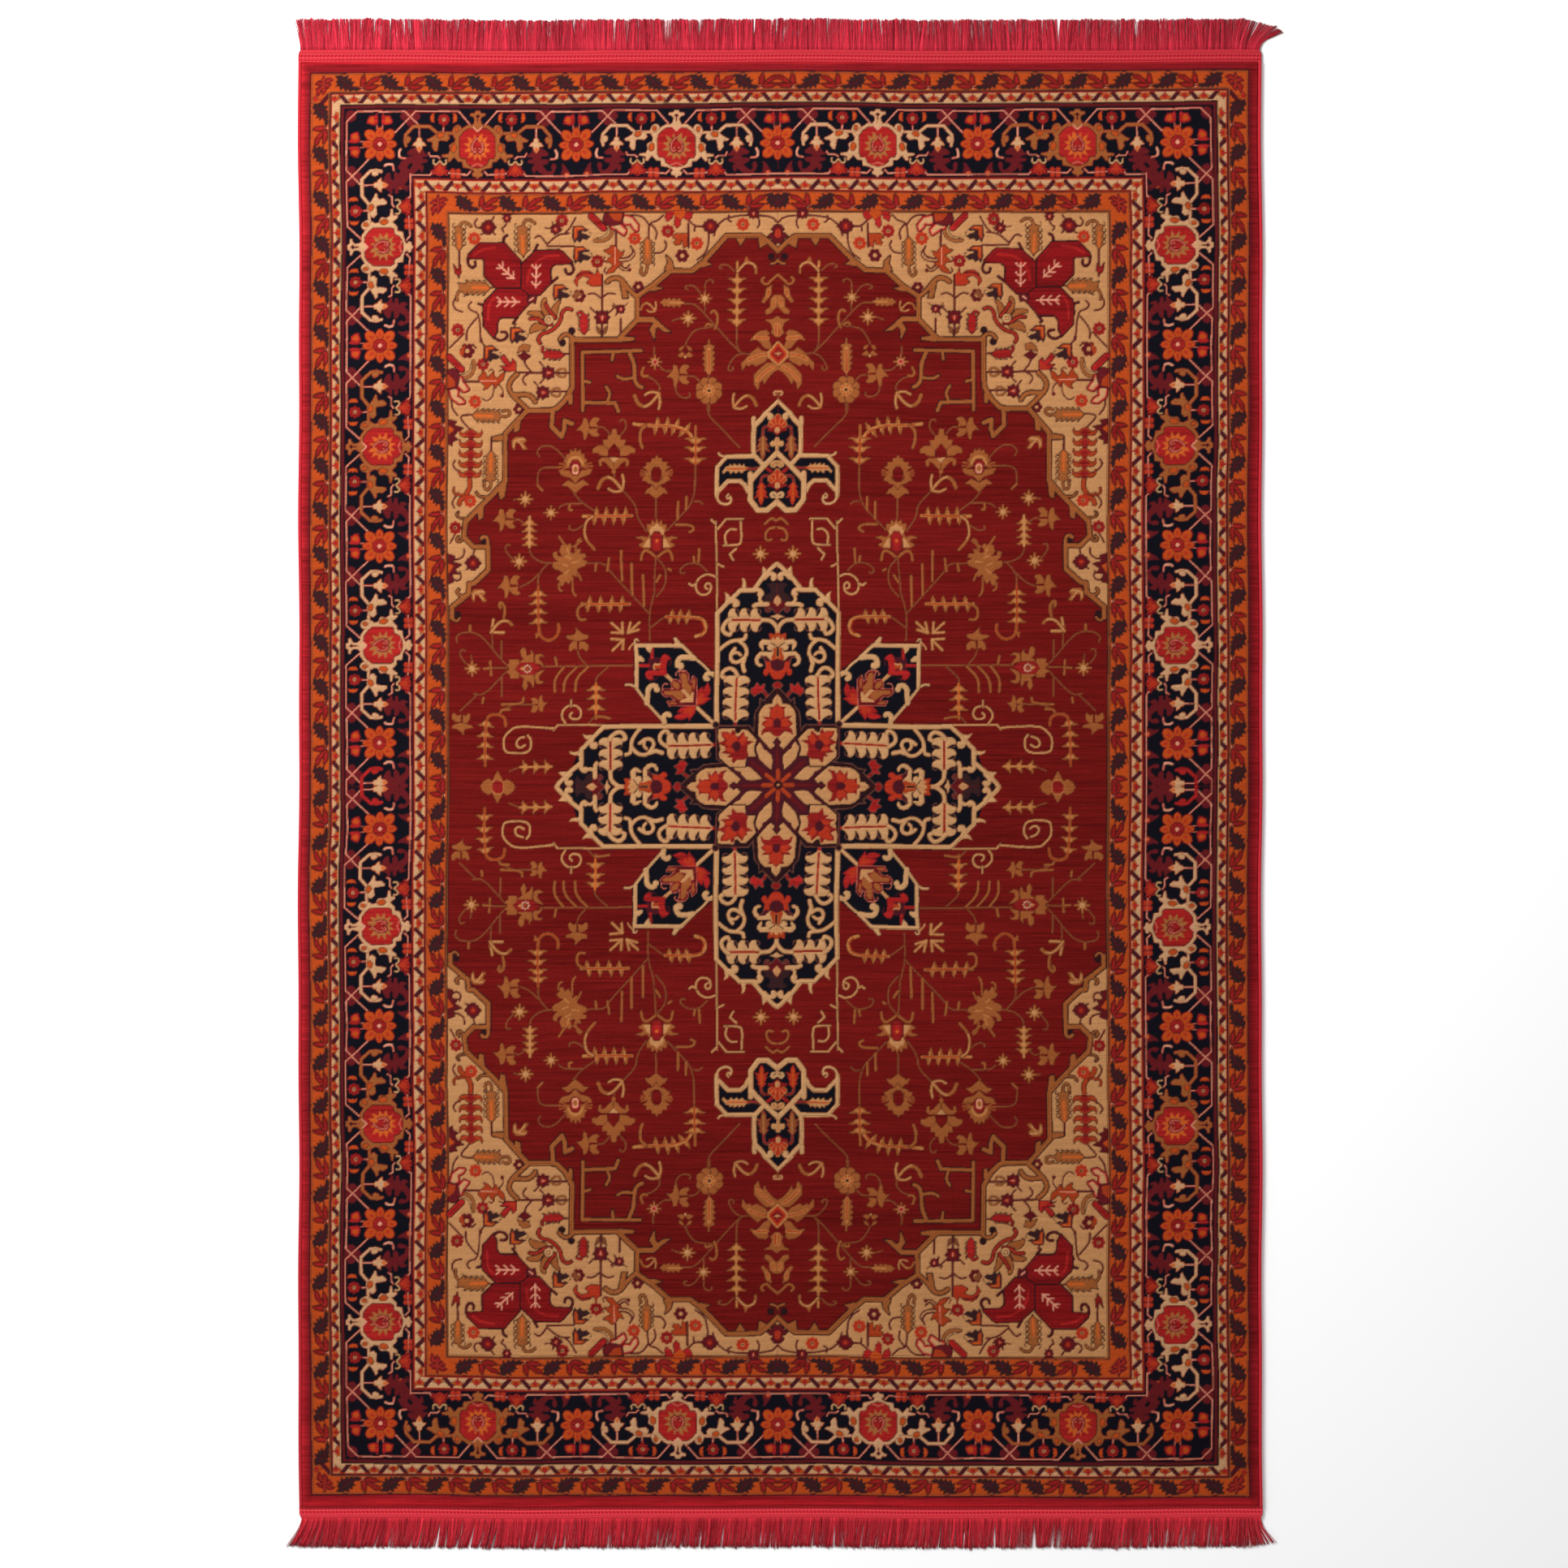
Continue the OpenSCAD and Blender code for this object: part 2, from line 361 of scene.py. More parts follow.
def acanthus(p):
    """Maroon leaves under the bell."""
    p.shape([(43, -4), (53, -5), (54, -8), (58, -13), (61, -11), (60, -15), (54, -15), (52, -18), (59, -18),
             (60, -22), (53, -23), (50, -25), (55, -26), (54, -32), (51, -36), (50, -29), (45, -34),
             (38, -38), (31, -38), (27, -33), (24.5, -27), (26, -22), (30, -23), (31, -28), (29, -31),
             (33, -33), (37, -31), (42, -24), (37, -24), (32.5, -20), (36, -17), (44, -18), (42, -13),
             (37, -14), (33, -11), (37, -7)], "claret", None, 0, True)


def hook(p):
    """Pale hook at the side of a leaf group."""
    p.line([(25.5, -6), (23.3, -11), (24.2, -16.5), (31.5, -17.5)], 2.2, "pink")
    p.line([(25, -7), (23.4, -11), (24.2, -15.5)], 2.6, "blush")


def horn(p):
    """Maroon horn at the foot of a rosette, with a bud in it."""
    p.shape([(18.5, -22), (14.5, -24), (11, -30), (6, -38), (20, -38.5), (17.5, -31), (17, -26)], "claret",
            None, 0, True)
    p.disc(12, -36.8, 3.2, "orange")
    p.disc(12, -36.8, 1.4, "pink")


def eyed_flower(p):
    """Small red flower with a white and dark eye on a stem, between two orange crescents."""
    p.stem([(80, 25), (79.5, 14)])
    floret(p, 80, 31, 7.4, "brick", "ivory", "ink")
    p.shape([(77, 25.5), (83, 25.5), (80, 21)], "brick")
    for x, s in ((66, 1), (94, -1)):
        p.shape([(x - 2.6 * s, 33), (x - 1.6 * s, 37), (x + 1.8 * s, 38.6), (x + 0.8 * s, 35),
                 (x + 1.6 * s, 33), (x + 0.8 * s, 31), (x + 1.8 * s, 27.6), (x - 1.6 * s, 29)], "orange",
                "scarlet", 0.5)


def scroll_bird(p, scroll):
    """Winged scroll between the arc and the palmette."""
    p.shape([(58.5, 5.5), (60.5, 3.5), (64.5, 3.5), (66.3, 1.5), (65.3, -3.5), (69, -8), (71.5, -8),
             (72.5, -3), (73, 3.5), (75.5, 5.5), (84, 4.5), (87.5, 8), (86, 13), (82, 15.5), (75, 16),
             (71.5, 14), (68.5, 11), (64, 8)], scroll, "brick", 0.5)
    p.at(76, 11.5, 20).disc(0, 0, 4.2, "orange", "moss", 0.9, 0.66)
    p.cased([(83, 14.3), (92, 13.8)], 2.6, scroll, "brick", 0.5)
    p.shape([(90, 12), (91, 17), (93.5, 22.5), (97.5, 24.5), (101.5, 22.5), (103, 17), (102, 13), (97, 10)],
            scroll, "brick", 0.5, True)
    p.disc(96.3, 18.5, 2.1, "orange", "moss", 0.9, 1.4)


def halved(p, points, yarn, edge, edge_w):
    """Half a shape that is cut on the palmette's middle line; only its outer sides get an edge."""
    middle = max(x for x, _ in points)
    for start, end in zip(points, points[1:] + points[:1]):
        if start[0] < middle or end[0] < middle:
            p.line([start, end], 2 * edge_w, edge, False)
    p.shape(points, yarn)


def cartouche(p, scroll, flower):
    """Half of the palmette: scrolled frame, red octagon and its flower (middle at x = 123)."""
    halved(p, [(92, 12), (95, 7), (94, 2), (91, 1.5), (87.5, -1), (88.5, -7), (86, -12), (78.5, -12.5),
             (77.5, -14.5), (86, -16.2), (85.2, -21), (88, -21), (93, -14.7), (99, -20.5), (104, -20.5),
             (105, -27.5), (111, -28), (117, -30), (119.2, -33), (116, -35), (117.5, -38), (121, -38.5),
             (123.5, -42), (123.5, 25), (122, 29), (122, 33.5), (119.5, 34.5), (123.5, 38.5), (123.5, 41.5),
             (120.5, 41.5), (119, 38.5), (114, 38.5), (113.3, 36), (117, 35), (119.6, 32), (119, 27.5),
             (116.5, 24), (110, 24), (103.5, 19.5), (98, 13.5)], scroll, "brick", 0.5)
    p.at(93, -4.5, 80).disc(0, 0, 5.0, "orange", "moss", 0.9, 0.6)
    halved(p, [(100.3, -13), (100.3, 9), (105, 15), (111, 19.5), (118, 20), (123.5, 15), (123.5, -28),
               (116, -26.5), (110.5, -23), (108.5, -17), (102, -16.5)], "red", "dark", 0.9)
    p.line([(117.5, 21.8), (123.5, 16)], 1.4, "blush", False)
    p.line([(116, -26), (123.5, -23)], 1.2, "pink", False)
    for turn, reach in ((72, 19), (104, 17), (134, 19), (163, 18), (194, 18), (226, 17), (256, 16)):
        q = p.at(123, -4, turn)
        q.shape([(6, -1.2), (reach - 7, -2.7), (reach, -0.4), (reach - 7, 2.7), (6, 1.2)], flower)
    halved(p, [(123.5, 9), (119, 5), (115.5, -1), (116, -8), (119.5, -11), (123.5, -8)], "brick", "claret",
            1.4)
    p.line([(123.5, 8.5), (119, 4.5), (116, -1), (116.6, -7.5), (119.5, -9.8), (122, -7.5)], 1.3, "pink")
    p.disc(123.5, 0, 3.0, "red", "brick", 1.0)
    p.line([(121, -4), (119, -6)], 1.0, "pink")


def moustache_bud(p):
    """Red bud at the band's inner edge under a cream moustache."""
    p.stem([(75, -17), (72, -14.5), (63, -14.5), (61, -10.5)])
    p.shape([(75, -21), (71, -26), (67, -27), (68, -30), (62, -33), (67, -34.5), (64, -38.5), (70, -37),
             (75, -39.5), (80, -37), (86, -38.5), (83, -34.5), (88, -33), (82, -30), (83, -27), (79, -26)],
             "brick")
    for tip in ((68.5, -35), (72, -37), (75, -34), (78, -37), (81.5, -35)):
        p.line([(75, -25), tip], 1.7, "scarlet", False)
    wave = [(67, -19), (66.5, -23), (69.5, -25), (72.5, -23), (75, -19.5), (77.5, -23), (80.5, -25),
            (83.5, -23), (83, -19)]
    p.line(wave, 3.0, "ink")
    p.line(wave, 1.7, "ivory")


def side_floret(p):
    """Scarlet flower of four dots on the inner edge of the border."""
    p.stem([(86, -35), (110, -36.5), (114.5, -32)])
    for x in (-3.5, 3.5):
        for y in (-3, 3):
            p.disc(95 + x, -35.5 + y, 3.0, "scarlet", "wine", 0.6)
    p.line([(90, -35.5), (100, -35.7)], 1.2, "pink")


def border_unit(p, scroll, flower, corner=False):
    """Half a repeat of the main border; p is at the rosette and x runs to the palmette."""
    lattice(p)
    acanthus(p)
    arc_and_bell(p, scroll)
    bell(p)
    hook(p)
    eyed_flower(p)
    if not corner:
        horn(p)
        p.stem([(-1, -38), (62, -38), (64.5, -35)])
    else:
        p.stem([(36, -38), (62, -38), (64.5, -35)])
    moustache_bud(p)
    side_floret(p)
    scroll_bird(p, scroll)
    cartouche(p, scroll, flower)


def short_unit(p):
    """The start of a repeat, cut at the middle of a long side, with a red arc."""
    lattice(p)
    acanthus(p)
    arc_and_bell(p, "red")
    bell(p)
    hook(p)
    horn(p)
    p.stem([(-1, -38), (62, -38)])


def main_border(far, side):
    """far draws along the end border, side along the long one; both in knots."""
    repeats = [(0, 123, "bone", "bronze", False), (246.5, 123, "bone", "bronze", False),
               (246.5, 370, "tan", "amber", False), (493, 370, "tan", "amber", True)]
    side_repeats = [(53, 173.5, "bone", "bronze", False), (296, 173.5, "bone", "bronze", False),
                    (296, 418, "tan", "amber", False), (542, 418, "tan", "amber", False),
                    (542, 663.5, "bone", "bronze", False), (789, 663.5, "bone", "bronze", True)]
    for pen, rows, level in ((far, repeats, 789.5), (side, side_repeats, 493.5)):
        for start, end, scroll, flower, corner in rows:
            stretch = (end - start) / 123
            q = Pen(pen.loom, pen.matrix @ np.diag([stretch, 1]), pen.place([(start, level)])[0])
            border_unit(q, scroll, flower, corner)
    short_unit(Pen(side.loom, side.matrix @ np.diag([-1, 1]), side.place([(53, 493.5)])[0]))
    for spot in (0, 246.5, 493):
        q = far.at(spot, 789.5)
        tulips(q)
        rosette(q)
    for spot in (53, 296, 542, 789):
        q = side.at(spot, 493.5)
        tulips(q)
        if spot != 789:
            rosette(q)


def corner_joints(pen):
    """Trellis, maroon leaf and lines where the main border turns."""
    pen.shape([(524, 832), (535, 832), (535, 818), (528, 817), (521, 822)], "claret", None, 0, True)
    for path in ([(490, 830.6), (521.5, 830.6), (533.6, 818.5), (533.6, 770)],
                 [(430, 751.5), (455.5, 751.5), (455.5, 724)]):
        pen.stem(path)
    pen.shape([(447, 775), (458, 765), (463, 752), (470, 740), (476, 746), (466, 757), (470, 766),
               (458, 775)], "claret", None, 0, True)


def bands(pen):
    """Ground colour of every band, from the outside in."""
    rows = [("margin", "margin"), ("guard_outer_orange", "orange"), ("guard_outer_cream", "bone"),
            ("stripe", "claret"), ("border", "navy"), ("guard_inner_cream", "bone"),
            ("guard_inner_orange", "orange"), ("field", "field")]
    for name, yarn in rows:
        x, y = EDGES[name]
        pen.shape([(-1, -1), (x, -1), (x, y), (-1, y)], yarn)


def edging(pen):
    """Lines that part the bands: offset from a band's edge, width and yarn."""
    rows = [("guard_outer_orange", 0, 2.0, "maroon"), ("guard_outer_orange", -2.4, 1.2, "umber"),
            ("guard_outer_cream", 1.0, 1.5, "umber"), ("guard_outer_cream", -0.6, 1.8, "maroon"),
            ("guard_outer_cream", -2.0, 1.2, "scarlet"), ("stripe", 1.4, 1.0, "ivory"),
            ("stripe", 0, 1.8, "ink"), ("stripe", -2.6, 1.2, "wine"), ("border", 0.2, 1.2, "ink"),
            ("guard_inner_cream", 1.0, 2.4, "wine"), ("guard_inner_cream", -0.8, 1.4, "scarlet"),
            ("guard_inner_orange", 1.2, 1.2, "scarlet"), ("guard_inner_orange", 0.0, 1.6, "wine"),
            ("guard_inner_orange", -2.0, 1.0, "umber"), ("field", 3.4, 1.2, "umber"),
            ("field", 2.0, 1.4, "dark"), ("field", 0.6, 1.4, "umber"), ("field", -0.6, 1.0, "dark")]
    for name, gap, width, yarn in rows:
        x, y = EDGES[name]
        pen.line([(-1, y + gap), (x + gap, y + gap), (x + gap, -1)], width, yarn, False)


def borders(pen):
    """All the bands; the side pen has its x along the rug and y outwards across it."""
    side = Pen(pen.loom, [[0, 1], [1, 0]], (0, 0))
    bands(pen)
    for p, spot, step, count, base in ((pen, 20.0, 55.0, 10, 853.5), (side, 47.5, 54.5, 15, 554.2),
                                       (pen, 37.0, 54.9, 7, 706.5), (side, 11.5, 54.2, 13, 409.2)):
        orange_guard(p.at(0, base), spot, step, spot + (count - 0.5) * step)
        orange_leaf(p.at(spot + count * step, base + 4.5))
    orange_corner(pen.at(563, 864))
    orange_corner(pen.at(421, 717))
    for p, spot, limit, base, high in ((pen, 13.0, 541, 839, 14.0), (side, 26.0, 836, 541.5, 12.0)):
        cream_guard(p.at(0, base), spot, 47.65, limit, high)
        cream_guard(p.at(0, base), spot - 47.65, 47.65, spot - 20, high)
    for p, spot, limit, base, high in ((pen, 45.3, 440, 731.5, 13.0), (side, 13.0, 735, 436.5, 12.5)):
        cream_guard(p.at(0, base), spot, 48.3, limit, high)
        cream_guard(p.at(0, base), spot - 48.3, 48.3, spot - 20, high)
    corner_joints(pen)
    main_border(pen, side)
    edging(pen)


# ------------------------------------------------------------ corner pieces
CONTOUR = [(-2, 655), (0, 657), (12, 669), (22, 676), (63, 676), (92, 645), (106, 633.5), (132, 633.5),
           (152, 616), (172, 602.5), (172, 574), (196, 550), (253, 550), (253, 492), (258, 482.5),
           (263, 475), (272, 466), (280, 464), (309, 464), (335, 435), (335, 377), (350, 360), (384, 326),
           (386, 308), (374, 296), (355.5, 296), (355.5, 268), (374, 251), (380.5, 250), (381.5, 238),
           (403, 221), (403, 208)]
# Short pointed branches of the contour band
SPURS = [[(12, 667), (24, 673), (22, 661)], [(40, 673), (51, 673), (46, 664)],
         [(99, 643), (90, 646), (82, 641), (94, 638)], [(128, 634), (130, 645), (137, 652), (135, 643),
                                                        (139, 634)],
         [(156, 616), (149, 614), (141, 612), (151, 609), (160, 609)],
         [(184, 601), (190, 601), (194, 622), (188, 618)], [(152, 577), (140, 566), (131, 559), (140, 560),
                                                             (154, 571), (172, 571), (172, 577)],
         [(150, 572), (157, 562), (151, 549), (150, 562), (145, 566)],
         [(192, 554), (176, 552), (176, 549), (194, 547)],
         [(338, 434), (352, 431), (352, 427), (338, 427)],
         [(317, 452), (318, 439), (324, 437), (324, 446)],
         [(253, 484), (253, 472), (257, 471), (259, 480)],
         [(333, 378), (336, 357), (341, 355), (343, 368)],
         [(361, 347), (362, 331), (367, 329), (369, 340)]]


def contour(p):
    """Tan band round a corner piece, with the branches that grow from it."""
    branches = [(CONTOUR, 5.4, False), ([(174, 603), (184, 612), (193, 625), (203, 626), (210, 621)], 4.6,
                                        True),
                ([(309, 466), (322, 478), (329, 485), (332, 494), (328, 502), (321, 508)], 4.6, True),
                ([(326, 483), (308, 484), (302, 480), (299, 475)], 4.4, True),
                ([(277, 464), (278, 444), (265, 431), (262, 440), (262, 451), (253, 447)], 5.0, False),
                ([(355.5, 296), (355.5, 307), (361, 309), (364, 306)], 3.6, True),
                ([(356, 357), (366, 357), (370, 362)], 1.8, True),
                ([(384, 330), (392, 331), (396, 335), (393, 338)], 1.4, True),
                ([(387, 306), (392, 301), (396, 304), (393, 308)], 2.0, True),
                ([(385, 234), (393, 236), (397, 240), (394, 243)], 2.2, True),
                ([(403, 210), (401, 205), (396, 204), (393, 208)], 2.4, True),
                ([(-2, 650), (1, 643), (8, 641)], 2.6, True),
                ([(252, 553), (258, 557), (264, 556), (268, 551)], 3.6, True)]
    for x, y in ((253, 561), (265, 547), (8, 650), (396, 212), (361, 304)):
        p.disc(x, y, 4.8, "dark")
    for colour, more in (("dark", 3.0), ("tan", 0.0)):
        for outline in SPURS:
            p.shape(outline, colour, colour, 0.1 + more / 2)
        for path, width, soft in branches:
            p.line(path, width + more, colour, soft)


def bracket_frame(p):
    """Tan bracket that stands inside the inner bend of the contour band."""
    parts = (([(168, 536), (240, 535), (240, 463)], 3.8, False),
             ([(182, 533), (176, 520), (176, 500), (172, 493), (167, 491)], 4.4, True),
             ([(176, 503), (190, 501), (197, 505)], 3.2, True), ([(202, 533), (203, 525)], 3.2, True),
             ([(239, 473), (200, 472), (196, 462)], 4.0, False),
             ([(209, 475), (206, 484), (211, 492)], 3.4, True), ([(240, 500), (231, 498)], 3.2, True))
    for colour, more in (("dark", 2.8), ("tan", 0.0)):
        for path, width, soft in parts:
            p.line(path, width + more, colour, soft)


def three_lobes(p):
    """Large red three-lobed leaf in the middle of a corner piece."""
    lobes = [
        [(253, 646), (259, 652), (264, 658), (269, 661), (298, 660), (315, 645), (317, 641), (317, 614),
         (308, 606), (293, 606), (279, 621), (280, 635), (279, 640), (274, 644), (255, 645)],
        [(318, 615), (318, 648), (331, 662), (337, 669), (369, 669), (383, 655), (384, 651), (365, 650),
         (363, 648), (363, 629), (350, 616), (347, 614)],
        [(309, 607), (318, 613), (346, 613), (362, 597), (364, 590), (363, 567), (350, 553), (346, 560),
         (346, 570), (343, 576), (339, 578), (321, 578), (307, 594)],
    ]
    for path in ([(254, 645), (250, 637), (254, 631), (260, 632), (261, 637)], [(271, 627), (281, 619)],
                 [(384, 651), (384, 643), (379, 638), (374, 641), (375, 646)],
                 [(339, 670), (338, 677), (334, 679)], [(350, 554), (343, 549), (335, 551), (332, 556),
                                                        (334, 560), (340, 560)], [(320, 578), (325, 571)],
                 [(362, 592), (370, 594)], [(300, 660), (296, 667)]):
        p.cased(path, 1.5, "wine", "dark", 1.2)
    for lobe in lobes:
        p.shape(lobe, "corner_red", "dark", 1.8)
    for lobe in lobes:
        middle = np.mean(lobe, 0)
        inner = [tuple(middle + 0.86 * (np.array(v) - middle)) for v in lobe]
        p.line(inner + inner[:1], 0.8, "wine", False)
    p.line([(270, 654), (290, 653), (307, 638), (309, 622)], 3.0, "red")
    p.line([(350, 664), (366, 662), (376, 655)], 3.0, "red")
    p.line([(350, 602), (357, 594), (358, 574)], 3.0, "red")
    for spine, spots, turn in (([(298, 615), (298, 643)], ((298, 642), (298, 631), (298, 621)), 90),
                               ([(326, 626), (345, 643)], ((343, 642), (336, 635), (330, 630)), 45),
                               ([(318, 597), (345, 597)], ((345, 597), (335, 597), (326, 597)), 0)):
        p.line(spine, 2.0, "blush", False)
        for x, y in spots:
            q = p.at(x, y, turn)
            for s in (1, -1):
                q.line([(-4, 0), (-2, 3 * s), (1, 5.5 * s)], 1.7, "blush")
    p.shape([(296, 606), (304, 606), (309, 600), (306, 594), (302, 597), (298, 595), (297, 600)], "wine",
            "dark", 1.0)
    p.line([(301, 602), (305, 599)], 1.8, "blush", False)


def along(points):
    """A function that gives place, heading and left side at a share of a smooth line."""
    path = rounded(points, False)
    far = np.concatenate([[0], np.cumsum(np.linalg.norm(np.diff(path, axis=0), axis=1))])

    def spot(share):
        """Place, heading and left side at this share of the line's length."""
        here, ahead, behind = (np.array([np.interp(s * far[-1], far, path[:, i]) for i in (0, 1)])
                               for s in (share, share + 0.02, share - 0.02))
        run = (ahead - behind) / max(np.linalg.norm(ahead - behind), 1e-9)
        return here, run, np.array([-run[1], run[0]])
    return spot


def plume(p, points, half, teeth, body=0.66, hook=0.0, yarn="tan", core="amber", edge="dark", edge_w=1.1):
    """Saw-edged leaf along a line, with a thin curled tip and hooks on its teeth."""
    spot = along(points)
    step = body / teeth
    left, right = [], []
    for k in range(teeth):
        wide = half * (0.72 + 0.28 * math.sin(math.pi * (0.15 + 0.8 * k / teeth)))
        for share, reach in ((k * step, 0.58 if k else 0.2), ((k + 0.75) * step, 1.0),
                             ((k + 0.9) * step, 0.62)):
            here, _, out = spot(share)
            left.append(here + wide * reach * out)
            right.append(here - wide * reach * out)
    end = spot(body + 0.02)[0]
    p.line(points, 2.2 + 2 * edge_w, edge)
    if hook:
        for k in range(teeth):
            here, run, out = spot((k + 0.7) * step)
            for s in (1, -1):
                base = here + s * out * half * 0.85
                p.line([base, base + s * out * hook * 0.8, base + s * out * hook + run * hook,
                        base + s * out * hook * 0.5 + run * hook * 1.5], 1.3, edge)
    p.shape(left + [end] + right[::-1], yarn, edge, edge_w)
    p.line(points, 2.2, yarn)
    if core:
        tips = [spot(s)[0] for s in (0.04, 0.2, 0.4)]
        p.line(tips, half * 0.42, core)


def split_leaf(p, x, y, turn):
    """Arrow-shaped leaf: two lit limbs over a dark spiky half."""
    q = p.at(x, y, turn)
    q.shape([(8, 8), (-4, 8), (-9, 4), (-13, 2), (-7, 0), (-4, 1), (-3, -1), (-9, -3), (-14, -6), (-9, -10),
             (-4, -9), (-1, -13), (3, -10), (6, -14), (9, -6)], "leaf")
    q.shape([(6.5, 6.5), (-3, 6.5), (-8, 3), (-3, 3), (2, 2), (2, -4), (4, -9), (6.5, -8)], "rust")
    q.line([(-4, 5), (4.5, 4.5), (4.5, -5)], 1.3, "amber", False)
    q.line([(-14, -5), (-15, -1), (-12, -1)], 0.9, "moss")


def wine_flower(p, x, y, r):
    """Diamond-shaped wine flower with a scarlet middle."""
    q = p.at(x, y, 0, 1, r / 9)
    side = [(0, 9), (3, 8.5), (4, 6), (7, 5.5), (7.5, 3), (11, 0)]
    ring = side + [(x, -y) for x, y in reversed(side[:-1])]
    q.shape(ring + [(-x, y) for x, y in reversed(ring[1:-1])], "wine", "dark", 0.7)
    q.disc(0, 0, 4.2, "brick")
    q.disc(0, 0, 2.3, "scarlet", "wine", 0.6)


def ring_flower(p, x, y, r):
    """Small wine ring of six lobes round a pale hole."""
    for k in range(6):
        q = p.at(x, y, 60 * k)
        q.disc(0.66 * r, 0, 0.42 * r, "wine")
    p.disc(x, y, 0.3 * r, "cream")


def side_tulip(p, x, y, turn, size=1.0, leaves=True):
    """Wine flower on a stalk, pointing along its own x axis, with two leaves behind."""
    q = p.at(x, y, turn, 1, size)
    for s in (1, -1):
        if leaves:
            q.cased([(-10, 2 * s), (-14, 5 * s), (-20, 5 * s), (-21, 2 * s)], 1.8, "tan", "moss", 0.7)
        q.line([(4, 5 * s), (8, 10 * s), (11, 13 * s)], 2.2, "twig")
    half = [(9, 0), (7, 3), (8, 6), (3, 6), (1, 9), (-3, 6), (-7, 6), (-6, 2), (-8, 0)]
    q.shape(half + [(x, -y) for x, y in reversed(half[1:-1])], "wine", "dark", 0.6)
    q.line([(2, -2.4), (-3, 0), (2, 2.4)], 1.6, "scarlet", False)
    q.line([(2, 0), (-1, 0)], 1.3, "blush", False)


def spiral_flower(p):
    """Round flower with an ivory ring and curling petals, in the bend of a corner piece."""
    for outline in ([(266, 599), (271, 597), (277, 590), (279, 583), (274, 576), (271, 580), (270, 590)],
                    [(284, 603), (290, 600), (291, 588), (285, 578), (280, 581), (285, 590)],
                    [(286, 577), (291, 583), (292, 586), (304, 586), (309, 582), (298, 580), (292, 575)],
                    [(283, 567), (291, 569), (297, 572), (304, 565), (305, 557), (299, 561), (285, 563)]):
        p.shape(outline, "tan", "dark", 1.2, True)
    for path in ([(253, 587), (259, 589), (265, 584), (266, 575), (271, 567), (280, 560), (290, 558),
                  (295, 551), (292, 546)], [(273, 577), (280, 585), (285, 594)],
                 [(278, 569), (287, 570), (295, 577), (304, 576)]):
        p.cased(path, 3.4, "brick", "dark", 1.1)
        p.line(path, 1.4, "scarlet")
    p.disc(281, 575, 5.4, "ivory", "dark", 1.0)
    p.line([(279, 573), (284, 573), (284, 577), (280, 578), (279, 575)], 1.4, "umber")


def side_palmette(p):
    """Palmette cut by a corner piece's edge; p is at its middle, opening towards -x."""
    p.cased([(-31, 20), (-32, 10), (-27, 1), (-19, -2), (-13, 0)], 3.4, "tan", "moss", 1.0)
    p.line([(-28, 18), (-27, 10), (-22, 4), (-13, 3)], 1.1, "moss")
    for outline in ([(-24, -16), (-19, -18), (-13, -12), (-10, -5), (-15, -1), (-18, -8)],
                    [(-19, -32), (-13, -33), (-4, -26), (-2, -17), (-6, -13), (-11, -18), (-10, -25),
                     (-16, -28)]):
        p.shape(outline, "red", "dark", 3.2)
        p.shape(outline, "ivory", "red", 2.2)
        p.line(outline + outline[:1], 0.9, "pink", False)
    p.cased([(-16, 9), (-1, 24)], 7.0, "red", "dark", 1.2, False)
    p.line([(-13, 12), (-1, 24)], 2.4, "brick", False)
    p.shape([(-10, -14), (-13, -4), (-12, 6), (-6, 10), (2, 8), (2, -16)], "claret", "dark", 1.0)
    p.shape([(-8, -12), (-7, -4), (0, 2), (2, 2), (2, -14)], "rust")
    p.line([(-18, -6), (-38, -6)], 2.6, "twig", False)
    p.shape([(-38, -5), (-46, -11), (-44, -16), (-49, -14), (-55, -8), (-59, -14), (-62, -9), (-69, -3),
             (-71, 6), (-66, 3), (-62, -2), (-57, 1), (-57, 7), (-53, 3), (-49, -2), (-47, 3), (-43, 9),
             (-42, 4), (-37, -1)], "rust", "dark", 1.0)
    p.line([(-40, -5), (-53, -5), (-60, -5)], 1.3, "blush", False)
    for path in ([(-63, -9), (-69, -16), (-67, -24)], [(-57, -10), (-56, -24), (-48, -31), (-42, -27)],
                 [(-71, 6), (-68, 9), (-64, 7)], [(-57, 7), (-54, 10), (-51, 8)]):
        p.line(path, 1.9, "twig")
    p.disc(-67, -23, 2.4, "wine")


